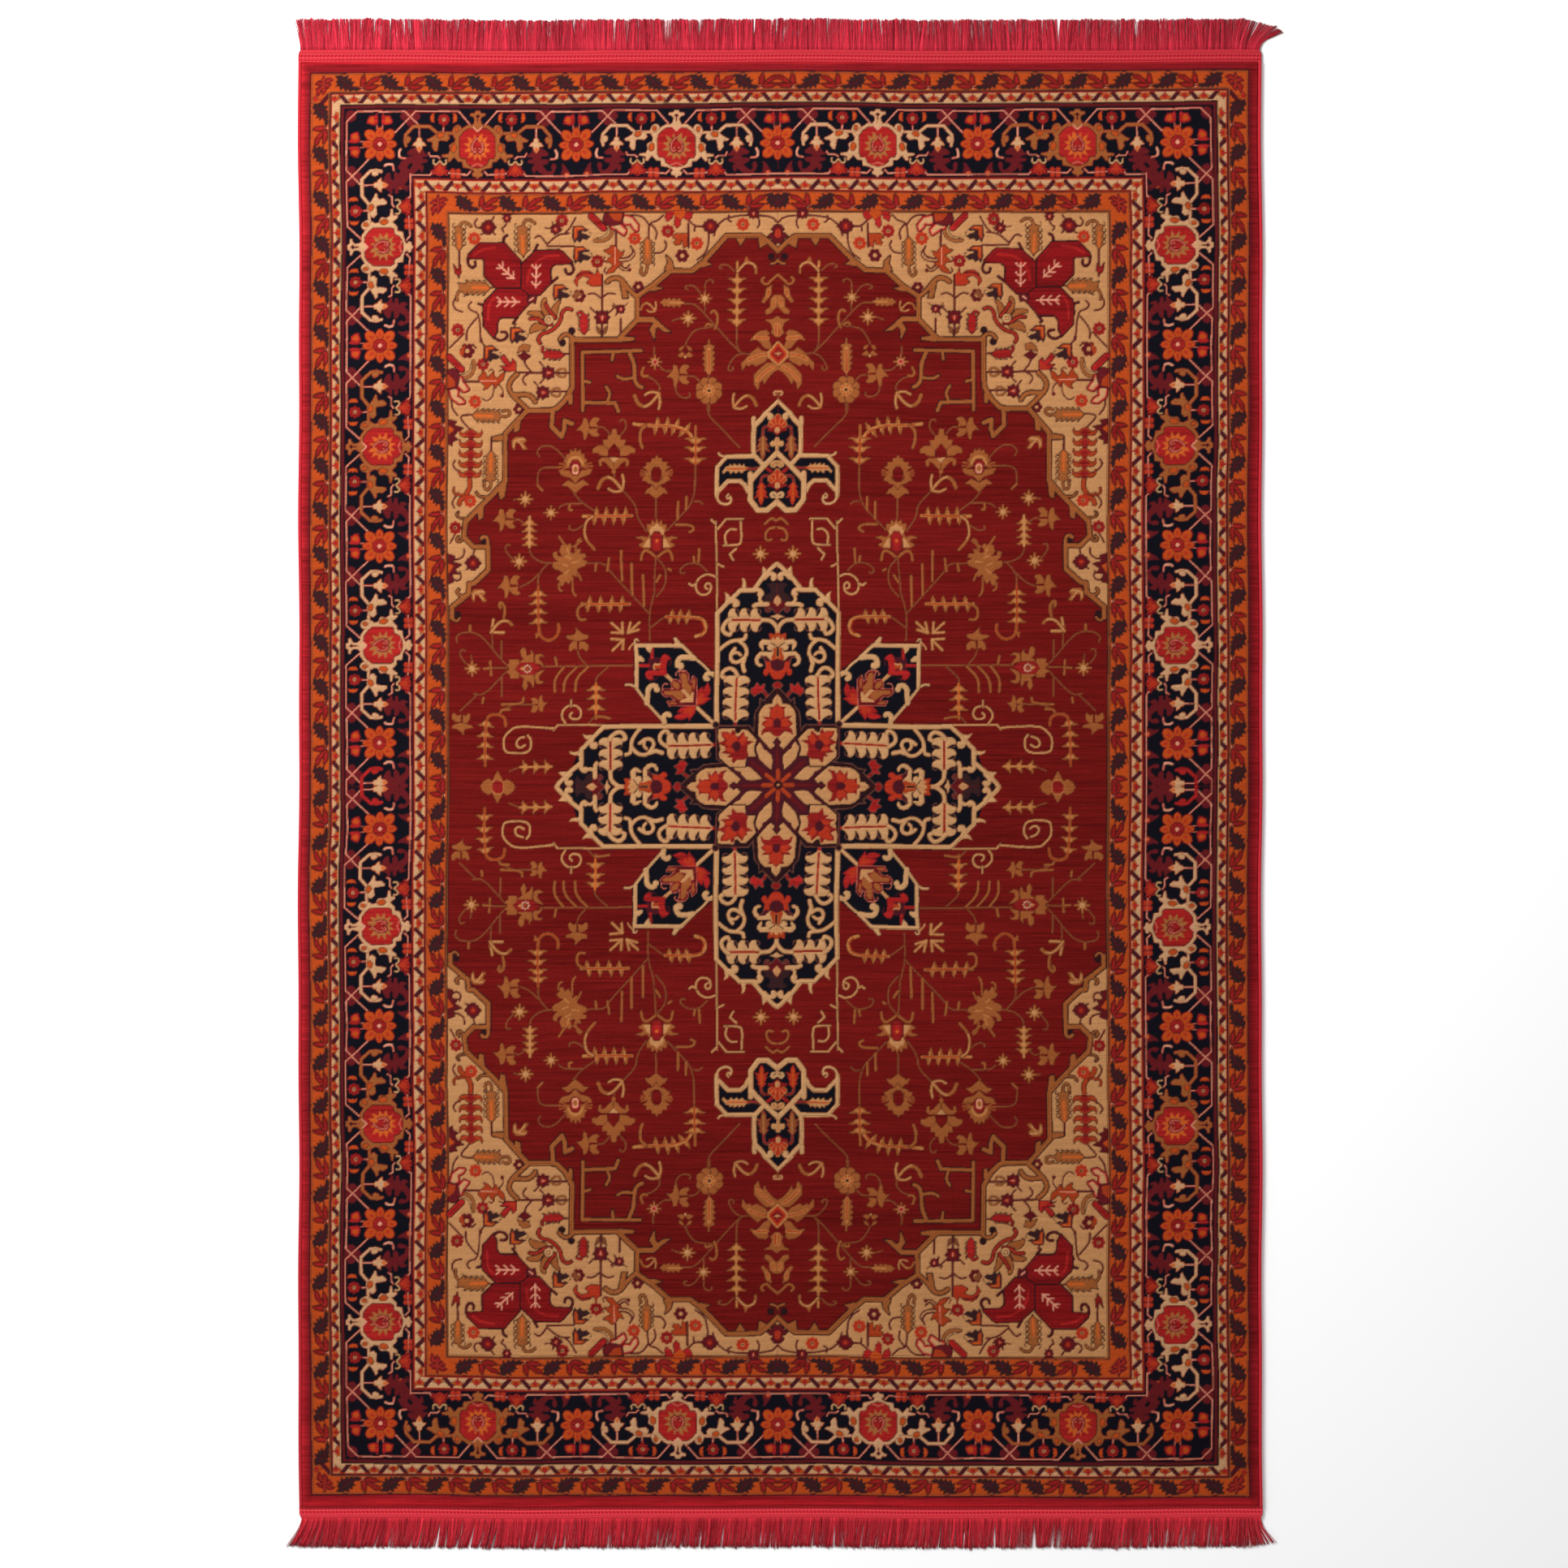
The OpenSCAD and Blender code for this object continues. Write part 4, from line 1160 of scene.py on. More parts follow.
def centre_flowers(p):
    """The two flowers on the long axis, above the pendant."""
    for outline in ([(-1, 578), (3, 575), (6, 573), (16, 573), (9, 569), (6, 562), (8, 556), (-1, 550)],
                    [(8, 540), (12, 552), (10, 556), (14, 560), (22, 559), (28, 555), (34, 547), (26, 549),
                      (20, 543), (16, 538), (10, 536)],
                    [(12, 533), (20, 535), (24, 539), (32, 533), (38, 526), (44, 520), (43, 510),
                     (38, 518), (35, 516), (31, 519), (27, 516), (22, 518), (16, 521), (12, 526)],
                    [(-1, 519), (6, 520), (14, 520), (22, 513), (29, 505), (29, 494), (24, 487), (22, 496),
                      (18, 499), (17, 493), (13, 500), (6, 508), (-1, 512)],
                    [(-1, 603), (5, 602), (9, 598), (9, 588), (15, 584), (14, 579), (8, 580), (4, 585),
                     (-1, 590)], [(7, 615), (14, 611), (16, 601), (20, 595), (17, 593), (12, 598),
                                  (8, 604)]):
        leafy(p, outline)
    for path in ([(12, 550), (18, 550), (27, 551)], [(14, 530), (24, 529), (35, 524)], [(6, 515), (16, 509),
                 (25, 499)], [(3, 597), (5, 590)], [(11, 608), (12, 602)], [(2, 566), (2, 554)]):
        p.line(path, 4.0, "gold")
        p.line(path, 1.8, "rust")
    p.cased([(-2, 629), (8, 621), (13, 615), (19, 618), (20, 622), (17, 624)], 2.8, "tan", "bark", 0.6)
    p.shape([(-1, 547), (0, 547), (13, 533), (13, 527), (0, 515), (-1, 515)], "gold", "bark", 0.7)
    p.shape([(-1, 544), (0, 544), (10, 532), (10, 528), (0, 518), (-1, 518)], "scarlet")
    p.shape([(-1, 540), (0, 540), (7, 531), (7, 529), (0, 522), (-1, 522)], "brick")
    p.shape([(-1, 534), (0, 534), (1, 532), (5, 531), (1, 530), (0, 527), (-1, 527)], "sand")


def field_motifs(p):
    """All the flowers, feathers and stems on the red ground."""
    field_stems(p)
    fir(p, [(50, 566), (50, 644)], (0.07, 0.23, 0.39, 0.55, 0.71), 12)
    p.cased([(50, 632), (39, 644), (30, 641), (27, 637), (27, 630)], 3.2, "tan", "bark", 0.7)
    p.line([(50, 632), (39, 644), (30, 641), (28, 637)], 1.7, "sand")
    p.shape([(35, 644), (39, 651), (42, 643)], "tan")
    plume(p, [(84, 508), (84, 549)], 8, 5, 0.86, 0, "tan", None, "bark", 0.7)
    p.line([(84, 509), (84, 538)], 3.6, "gold")
    p.line([(84, 509), (84, 536)], 1.5, "rust")
    thorny(p, [(101, 396), (101, 427), (120, 444), (160, 444), (177, 446)], (0.42, 0.53, 0.63, 0.74), 12)
    fir(p, [(101, 396), (101, 427)], (0.16, 0.6, 0.95), 14, "rust", 1, 3.4)
    p.cased([(162, 444), (169, 438), (169, 425), (166, 417)], 3.4, "tan", "bark", 0.6)
    p.line([(101, 428), (101, 443)], 3.2, "tan")
    thorny(p, [(178, 333), (238, 333)], (0.14, 0.34, 0.54, 0.74), 12)
    p.cased([(226, 333), (235, 327), (237, 312), (234, 303), (224, 292)], 3.2, "tan", "bark", 0.6)
    p.line([(226, 333), (235, 327), (237, 312), (234, 305)], 1.5, "sand")
    thorny(p, [(182, 225), (240, 225)], (0.16, 0.38, 0.62, 0.85), 11)
    p.cased([(236, 225), (245, 221), (246, 210), (242, 205), (236, 206)], 3.0, "tan", "bark", 0.6)
    thorny(p, [(137, 209), (100, 209), (90, 205), (87, 197), (90, 188), (100, 185)], (0.08, 0.22, 0.36), 10)
    fir(p, [(294, 247), (294, 193), (290, 184), (280, 180), (271, 186), (268, 193), (269, 200)],
        (0.09, 0.19, 0.31, 0.43), 12, "rust", 1, 3.4)
    p.shape([(292, 190), (297, 182), (298, 190)], "tan")
    fir(p, [(304, 333), (304, 296)], (0.2, 0.42, 0.66, 0.88), 10, "sand", 1, 4.0)
    fir(p, [(223, 127), (223, 84)], (0.15, 0.4, 0.7), 12, "amber", 1, 3.4)
    p.cased([(224, 86), (214, 86), (206, 84)], 2.6, "tan", "bark", 0.6)
    fir(p, [(335, 76), (336, 86), (344, 90), (352, 90), (360, 85), (361, 26)], (0.44, 0.58, 0.72, 0.88),
        11, "rust", 1, 3.4)
    fir(p, [(278, 25), (317, 25)], (0.15, 0.5, 0.85), 9)
    plume(p, [(143, 595), (116, 595)], 6, 4, 0.9, 0, "tan", None, "bark", 0.6)
    p.line([(133, 595), (117, 595)], 2.0, "gold")
    centre_flowers(p)
    field_rosette(p, 84, 487, 18)
    for x, y, r in ((110, 576, 10), (90, 600, 9), (151, 522, 9), (20, 285, 10), (278, 338, 9),
                    (310, 355, 10), (317, 278, 10), (377, 146, 10)):
        starlet(p, x, y, r)
    p.disc(151, 522, 2.6, "red", "blush", 0.7)
    for x, y, turn, size in ((120, 506, 0, 1), (231, 441, 0, 1), (333, 330, 0, 1), (328, 248, 0, 1),
                             (245, 179, 90, 1), (390, 80, -90, 0.95), (295, 102, 180, 0.75)):
        split_palm(p, x, y, turn, size)
    fan_leaf(p, 369, 236)
    fan_leaf(p, 318, 423)
    for x, y, turn, flip, size in ((190, 365, 0, 1, 1), (146, 483, 0, -1, 1), (53, 466, 180, -1, 0.9),
                                   (150, 585, 0, 1, 0.6)):
        claw(p, x, y, turn, flip, size)
    for q in p.at(113, 535).pair():
        q.shape([(1, 8), (7, 5), (8, 1), (4, 2)], "tan", "bark", 0.6)
        q.shape([(1, -3), (4, 0), (10, -5), (5, -7), (1, -5)], "tan", "bark", 0.6)
    p.disc(113, 528.5, 1.7, "cream")
    palmettes(p)
    for path in ([(2, 318), (10, 316), (14, 308), (12, 301), (6, 303)], [(0, 326), (6, 330), (14, 322)]):
        p.cased(path, 2.8, "tan", "bark", 0.7)
    frame_lines(p)


def frame_lines(p):
    """Pale sand lines that stand off the medallion."""
    for path in ([(74, 215), (74, 325)], [(74, 322), (80, 328)], [(74, 274), (66, 270)],
                 [(41, 328), (62, 328), (72, 316)], [(44, 325), (43, 300), (47, 296), (65, 296)],
                 [(50, 315), (58, 316), (64, 308), (62, 298)],
                 [(76, 258), (85, 262), (95, 258), (100, 250), (99, 240), (91, 235), (82, 239), (81, 249),
                  (87, 251), (89, 245), (85, 243)], [(99, 250), (104, 247), (108, 250)],
                 [(50, 292), (58, 285), (54, 278)], [(212, 76), (270, 76), (275, 70)],
                 [(275, 72), (322, 76), (332, 68), (338, 60), (337, 45), (330, 42), (305, 42), (303, 58),
                  (308, 64)], [(312, 62), (320, 60), (323, 52), (317, 48), (311, 52)],
                 [(260, 78), (265, 85), (264, 93), (256, 100), (245, 99), (240, 91), (243, 83), (252, 83),
                  (256, 87), (252, 91)], [(253, 98), (253, 106)]):
        p.cased(path, 2.4, "sand", "bark", 0.6, len(path) > 3)


# ------------------------------------------------------------- medallion
def arm_pair(p):
    """This pen and its mirror image across the diagonal."""
    return p, Pen(p.loom, p.matrix @ np.array([[0, 1], [1, 0]]), p.origin)


def ivory_work(p, straight, curled=(), balls=(), spurs=(), edge="umber"):
    """Pale lines, curls, balls and spurs that join under one brown casing."""
    for yarn, more in ((edge, 0.6), ("ivory", 0.0)):
        for points, width in straight:
            p.line(points, width + 2 * more, yarn, False)
        for points, width in curled:
            p.line(points, width + 2 * more, yarn)
        for x, y, r in balls:
            p.disc(x, y, r + more, yarn)
        for points in spurs:
            p.shape(points, yarn, yarn, more)


def medallion_outline(p):
    """Ivory line work of the medallion's four arms."""
    for q in arm_pair(p):
        ivory_work(q,
                   [([(74, 213), (74.2, 79)], 5.2),
                    ([(-2, 272), (0, 272.6), (5, 269), (12, 262), (18, 256), (28, 243)], 4.8),
                    ([(12, 260), (16, 256)], 6),
                    ([(28, 241), (46, 241), (50, 236.6), (58, 229.4), (73, 214)], 4.6)],
                   [([(16, 259), (8, 261), (3, 259), (2.6, 256)], 4.6),
                    ([(29, 241.5), (22, 241.5), (19.2, 238), (19.4, 236)], 4.6),
                    ([(61, 227), (54, 229), (49.5, 227), (49.6, 224)], 5.4),
                    ([(21.4, 232.4), (22, 228), (18, 224.6)], 3.4),
                    ([(12, 224), (25, 224), (29, 222)], 4.6)],
                   [(4.6, 255.2, 3.1), (21.4, 235.8, 3.2), (52, 223.4, 3.2), (29.4, 221.6, 1.8)],
                   [[(12, 264), (17.6, 269.8), (18.6, 258)],
                    [(57, 230), (60, 236), (65, 239), (63, 234), (64, 226)],
                    [(38.6, 242), (39, 250), (41, 254.6), (43.6, 255.8), (42.6, 250), (44, 242)]])


def lobe_outline(p):
    """Ivory line work of a diagonal lobe."""
    ivory_work(p, [([(79, 136), (90, 149), (101, 158)], 2.8), ([(101, 158), (117, 174)], 3.8),
                   ([(117, 173.2), (174, 173.2)], 4.2),
                   ([(174, 173), (172.6, 158), (173, 140), (172.8, 122)], 4.6),
                   ([(173, 121), (158, 101), (138, 78)], 3.2)],
               [([(80, 139), (86, 139), (88.8, 135), (87.6, 132)], 5.0),
                ([(102, 158), (112, 159.5), (119, 159), (122.4, 154), (122.4, 149)], 6.2),
                ([(160, 103), (159, 112), (159, 120), (154, 125), (149, 123.6)], 6.2),
                ([(139, 79), (140, 86), (136, 89.4), (133, 88.6)], 5.8),
                ([(174, 174), (176, 180), (173, 181.8), (171, 179)], 1.8),
                ([(173, 122), (180, 125.6), (186, 125)], 2.6)],
               [(85.6, 132, 3.0), (118.6, 148.4, 4.4), (147.6, 119.6, 3.6), (132, 87.4, 2.6)],
               [[(112, 168), (118, 176), (124.5, 184), (128, 183), (125.6, 177), (128, 174), (120, 172)],
                [(153, 172), (162, 172), (160.6, 168), (156, 163.4), (155, 168)],
                [(172, 161), (167, 160), (163.4, 156), (164, 153), (172, 154)]], "ink")
    p.line([(176, 177), (181, 172), (182, 169)], 1.6, "sand")


def lobe_contents(p):
    """Palmette, leaves and flower inside a diagonal lobe."""
    p.cased([(78, 78), (100, 98.4)], 3.8, "ivory", "umber", 0.6)
    for q in arm_pair(p):
        q.shape([(99, 99), (90, 101), (84, 106), (81, 107.6), (86.6, 109.4), (83, 113), (82, 119),
                 (85, 127), (88.4, 122), (90, 115), (91.6, 122), (97, 117), (98.6, 110)], "red", "claret",
                0.7)
        q.shape([(98, 100), (91, 103), (86, 107), (91, 109), (88, 115), (90, 113), (94, 115), (97, 108)],
                "scarlet")
    edge = [(99, 99), (98, 131), (103, 136), (104.6, 131), (104, 127), (109, 131), (108, 137), (112.4, 142),
            (121, 142.4), (118.6, 137), (118.2, 127), (122, 131), (128, 131.4), (130, 127), (128.6, 121),
            (126, 119.6), (140, 120), (142, 116), (139, 112), (136, 110.4), (130, 110.6), (124, 104.8),
            (135, 105), (132, 99)]
    p.shape(edge, "wine", "pink", 0.7)
    p.shape(edge, "wine", "brick", 0.0)
    p.line(edge[7:9] + [(125, 139), (123.4, 136.4)], 0.9, "pink")
    p.line([(141, 119), (141, 124), (138, 127), (134.6, 126)], 0.9, "pink")
    for leaf in ([(101.4, 118), (100.4, 130), (103, 133), (103.4, 123)],
                 [(106, 114), (104, 121), (109.4, 127), (111, 137), (114.6, 139.6), (117, 139),
                  (116.4, 121), (110, 112)], [(119, 121), (121, 127), (126.6, 129.6), (128.6, 127),
                                              (126.6, 122), (122, 119.4)],
                 [(113, 110), (119, 117.6), (138, 117.4), (139, 114.6), (136, 112.6), (129, 112.6),
                  (120, 105.6)], [(122, 101), (126, 103.6), (133, 103.4), (131, 101)]):
        p.shape(leaf, "tan", "brick", 0.7)
    p.shape([(103, 103), (101.8, 115), (104.4, 116), (106, 111), (114, 119), (118.4, 118), (112, 111),
             (110.4, 107.6), (118, 106), (119, 103)], "cream", "brick", 0.6)
    p.line([(130, 131), (138, 138.6)], 4.0, "sand")
    p.shape([(142, 158), (150, 159), (158, 158), (159.4, 150), (158, 141), (142, 141)], "maroon")
    p.shape([(131, 157), (135, 161), (139, 162.6), (141.4, 160), (143, 156), (144, 150), (143.6, 142),
             (157, 142), (161, 141), (162, 138), (160, 134), (155.6, 131), (152.6, 132.6), (154, 137),
             (136, 137), (137, 147), (135.4, 155)], "red", "brick", 0.6)
    p.line([(132, 157), (130, 153), (132.6, 149)], 1.4, "maroon")
    p.line([(155, 132), (150, 131), (147, 134)], 1.4, "maroon")
    p.shape([(143, 151), (151, 152), (153, 148), (152, 143.6), (147, 144.6), (144, 144)], "rust")
    p.line([(143.6, 151), (148, 149), (151, 151.4), (152, 147), (151, 144)], 1.6, "cream")
    for stem in ([(154, 158), (154, 171)], [(158, 148.6), (171, 148.6)]):
        p.line(stem, 4.6, "claret", False)
        p.line(stem, 2.8, "red", False)


def caterpillar(p, x, y, turn, starts, reach=1.0):
    """Pale lobes along a red spine, drawn on the pen's own x axis, leaning back."""
    c = p.at(x, y, turn)
    for start in starts:
        for s in (reach, -reach):
            lobe = [(-1, 0), (1, 3.6), (3.4, 7), (5.4, 10.4), (5.6, 15), (7.6, 16), (10.6, 15), (13, 12),
                    (14, 8), (13.6, 4), (15, 0)]
            wisp = [(7, 15.4), (3.4, 15), (1, 12.4), (1.6, 9.6)]
            c.line([(start + u, s * v) for u, v in wisp], 1.1, "dusk")
            c.shape([(start + u, s * v) for u, v in lobe], "ivory", "umber", 0.5, True)
    c.line([(starts[0] + 2, 0), (starts[-1] + 13, 0)], 7.4, "ivory", False)
    c.line([(starts[0] + 1, 0), (starts[-1] + 15, 0)], 2.8, "scarlet", False)
    c.line([(starts[0] + 1, 0), (starts[-1] + 15, 0)], 1.8, "brick", False)


def arm_flower(p):
    """The upright flower of an arm, half of it."""
    p.shape([(-1, 131), (4, 131), (8, 135), (9.4, 140), (11.4, 140), (12, 136.6), (15, 135.4), (17.6, 138),
              (17, 142), (13.6, 145), (14, 149), (16, 154), (12, 156), (9, 152), (7.6, 146), (4, 142),
             (-1, 141)], "scarlet", "brick", 0.6, True)
    p.shape([(9, 154), (13, 160), (20, 161), (23, 156), (20, 158), (16, 155), (13, 152)], "maroon")
    p.line([(21, 158), (17, 157.4), (15.4, 153), (14.6, 147)], 1.0, "dusk")
    p.disc(0, 149, 8.8, "maroon", None, 0, 0.94)
    p.shape([(-1, 157), (1, 156), (7, 153.6), (9, 158), (6, 163), (5, 171), (-1, 171)], "rust")
    p.line([(1.6, 169), (1.6, 158)], 0.9, "gold", False)
    p.shape([(-1, 188.4), (0, 188.4), (4, 186), (10, 187.8), (9.6, 182), (10, 178), (8, 175), (-1, 172)],
            "rust", "brick", 0.5)
    p.shape([(9, 179.6), (19.6, 180), (23, 176), (22.8, 172), (19.6, 168), (18, 166), (17.4, 170),
             (18.6, 174), (11, 173.6), (13.4, 170.6), (12, 167.4), (8, 166.4), (5, 170.4), (2, 170)],
            "ivory", "umber", 0.4)
    p.shape([(4.6, 170), (7, 164.6), (22, 165), (27, 160), (28.6, 155), (27, 149.6), (22, 146.4),
             (18.6, 147.4), (19.4, 149.6), (23.4, 151), (24, 155), (21, 160.4), (14, 160), (9, 155),
             (7.4, 153.6), (8, 158), (6, 162)], "ivory", "umber", 0.4)
    p.shape([(-1, 184.4), (0, 184.4), (4, 179.6), (6, 183.4), (8.4, 176.6), (1, 170.6), (-1, 170)], "cream")
    p.line([(9, 176.4), (1, 170.6), (0.6, 159)], 1.3, "dark", False)


def medallion_arms(p):
    """Fronds, spirals and flowers on the navy arms."""
    for q in arm_pair(p):
        q.line([(52, 75), (51.6, 82)], 4.6, "dusk", False)
        q.line([(52, 75), (51.6, 82)], 3.2, "red", False)
        caterpillar(q, 51.6, 81, 92, (0, 13.6, 27, 41))
        caterpillar(q, 18.6, 204.4, 0, (0.6, 14, 28), 0.92)
        ivory_work(q, [([(41, 158), (43.4, 150), (41.2, 141.6)], 4.4)],
                   [([(49, 136), (53, 143), (58, 145.4), (64, 144), (68, 139.6), (68.2, 136)], 4.0),
                    ([(58, 206), (63, 203), (67, 197), (67.4, 191.6), (63.4, 187.4), (59, 186.6)], 4.4),
                    ([(0, 186), (0, 194), (5, 201), (10, 204.4), (19, 204.6)], 4.4),
                    ([(48, 179), (41.6, 174), (38.6, 168), (38.8, 160.4), (44, 156), (50, 152),
                      (56, 153.4), (58.4, 158), (57.4, 163.6), (53, 169.4)], 3.8),
                    ([(57, 163), (50, 165), (46, 161.4)], 3.0),
                    ([(39.4, 186), (41, 180), (55, 179.6), (63, 175.6), (73, 167)], 3.8)],
                   [(66.2, 134.6, 2.8), (58.4, 188.6, 2.8)],
                   [[(-1, 204), (4, 208), (8.4, 208.6), (4, 210), (-1, 212)]])
        q.disc(65.6, 136.4, 0.9, "navy")
        q.disc(60, 190, 0.9, "navy")
        arm_flower(q)
        q.shape([(-1, 128), (0, 128), (4, 125.6), (5.8, 123), (4, 120), (-1, 119)], "brick", "dusk", 0.8)
        q.line([(11, 107), (14, 113), (18, 117)], 4.4, "dusk")
        q.line([(11, 107), (14, 113), (18, 117)], 3.2, "brick")
        q.shape([(17, 116), (15.6, 124.6), (18, 124), (21, 121), (25, 126.6), (28, 121), (32, 119.6),
                 (32, 115), (28, 110.6), (25, 113), (20, 115)], "red", "dusk", 0.8)
        q.disc(22, 118, 1.6, "brick")
        q.shape([(-1, 248), (6, 250), (13, 247), (8.4, 243), (7.4, 238), (14, 235), (17, 229), (10, 227),
                 (-1, 226)], "leaf")
        q.shape([(-1, 227), (10, 226.4), (15, 221), (15, 216), (12, 213.6), (9, 215), (8, 219), (4, 216),
                 (1, 212), (-1, 212)], "wine", "claret", 0.5)
        q.line([(1, 212), (7.4, 219.4), (11, 219), (12, 216.6)], 1.0, "dusk")
        q.line([(8, 218), (9, 214.4), (13.6, 214.6), (15.4, 219)], 1.0, "dusk")
        q.shape([(-1, 235), (0, 235), (4, 229.6), (4.6, 226.4), (0, 221.4), (-1, 221.4)], "cream", "brick",
                 0.6)


def star(p):
    """Pale petals and serrated leaves of the middle star."""
    for q in arm_pair(p):
        q.line([(-1, 24), (-1, 40)], 5.6, "wine")
        q.line([(-0.4, 8), (-0.4, 18)], 5.4, "rust")
        q.shape([(-1, 119), (1, 119), (17, 104), (27, 92), (28.4, 80), (28, 66), (34, 74), (77, 74),
                 (70, 64), (30, 56), (20, 60), (14, 100), (6, 100), (-1, 112)], "dark")
        q.line([(3, 118.6), (17, 104), (21, 107.4), (21.4, 98), (27, 91), (28.4, 80), (29, 67)], 1.1,
               "dusk", False)
        q.line([(29, 68), (34.6, 74.8), (71, 75.2)], 1.1, "dusk", False)
        q.shape([(8, 19.4), (6.4, 30), (7, 37), (11, 40.6), (14, 43.6), (17, 45), (19, 50), (22, 54),
                 (26, 48), (26, 44), (24, 38), (22.4, 33.4), (15.6, 26)], "cream", "dark", 0.9)
        q.shape([(-2, 112), (0, 112), (5, 106), (6, 100), (14, 99.6), (20, 93.6), (22.4, 88), (22.8, 75),
                 (23.8, 63), (17, 55), (8, 45), (2.6, 49.4), (5.6, 53), (0, 60), (-2, 60)], "cream",
                "dark", 1.4)
        q.shape([(-2, 100), (0, 100), (4, 96), (10, 96), (8, 94), (9, 84), (17.6, 85), (13, 80.6),
                 (16, 79), (19.4, 76), (14, 72), (18, 69), (19.4, 62), (16, 65.6), (9, 67), (3, 61),
                 (-2, 61)], "brick", "claret", 0.4)
        q.shape([(-1, 99), (3, 97), (7.6, 92), (8, 85), (4, 81), (-1, 84)], "scarlet")
        q.shape([(5, 80), (9, 83), (14, 82), (13, 78.6), (16.6, 76), (13, 72), (6, 73)], "scarlet")
        q.shape([(-1, 84), (4, 80), (4, 72), (-1, 71)], "maroon")
    petal = [(27, 36.4), (39, 36.4), (39.4, 24), (58, 24), (63, 28), (71, 35.4), (72, 41), (70, 46),
             (71.4, 52), (73, 60), (72.4, 70.6), (53, 71.4), (52, 67), (49, 65), (46, 67.4), (44, 70),
             (38, 69.6), (28, 59.6), (26, 57), (28.6, 49), (29, 44)]
    p.line([(17, 16), (31, 28)], 5.0, "wine")
    p.line([(5, 5), (14, 13)], 4.6, "rust")
    p.shape(petal, "cream", "dark", 1.7)
    p.shape([(30, 55), (37, 51), (38, 44), (36, 38), (41, 33), (50, 33), (54.4, 28), (56, 32), (55, 35.4),
             (62, 36.4), (57, 40), (69.4, 41.4), (63, 45), (65, 50), (73, 53.4), (67, 56), (64, 58),
             (68, 62), (69, 67), (61, 67), (57.6, 65), (55, 70), (52, 66), (53, 63), (49, 61), (42, 67.4),
             (40.4, 61), (36.6, 60.6), (38, 56)], "brick", "claret", 0.4)
    p.shape([(50, 60), (54, 64), (61, 66), (67.6, 66.4), (66, 62), (62.4, 58), (65, 53), (59, 49), (56, 53),
             (50, 57)], "scarlet")
    p.shape([(41.6, 64.4), (46, 60), (48, 55), (44, 50.6), (40, 54), (38, 57)], "scarlet")
    p.shape([(52, 42), (61, 42.4), (65, 46.4), (60, 48), (55, 47)], "scarlet")
    p.shape([(46, 54), (52, 56), (56, 53), (56, 48), (52, 42), (46, 46)], "maroon")
    p.disc(0, 0, 5.2, "dark")
    p.disc(0, 0, 1.7, "cream")
    p.disc(75.4, 76, 4.4, "dusk")
    p.disc(75.4, 76, 3.4, "dark")


def sawn_leaf(p, x, y, reach, yarn, edge, core):
    """A hanging leaf of three pairs of saw teeth, half as wide as high, tip down."""
    t = p.at(x, y, 0, 1, reach)
    side = [(0, 1.0), (0.16, 0.9), (0.34, 0.78), (0.17, 0.76), (0.42, 0.5), (0.2, 0.54), (0.52, 0.3),
            (0.19, 0.38), (0.16, 0.16), (0.02, 0)]
    t.shape([(0.56 * u, v) for u, v in side] + [(-0.56 * u, v) for u, v in side[::-1]], yarn, edge,
            0.5 / reach)
    t.line([(0, 0.88), (0, 0.2)], 0.09, core, False)


def pendant_flower(p, y):
    """A fanned orange flower with a red cup and pale heart, half of it."""
    p.shape([(-1, y + 8), (1.6, y + 8), (4, y + 3.6), (10, y - 1), (11, y - 5), (7, y - 8), (-1, y - 9)],
            "scarlet", "gold", 0.8)
    p.line([(3, y + 3), (2, y - 4)], 1.0, "gold", False)
    p.line([(9, y - 0.6), (4, y - 6)], 1.0, "gold", False)
    p.shape([(2, y - 8), (11.6, y - 9), (11.6, y - 12.6), (6, y - 13), (0, y - 18), (-1, y - 10)], "brick")
    p.disc(0, y - 11.4, 3.2, "cream", None, 0, 1.25)


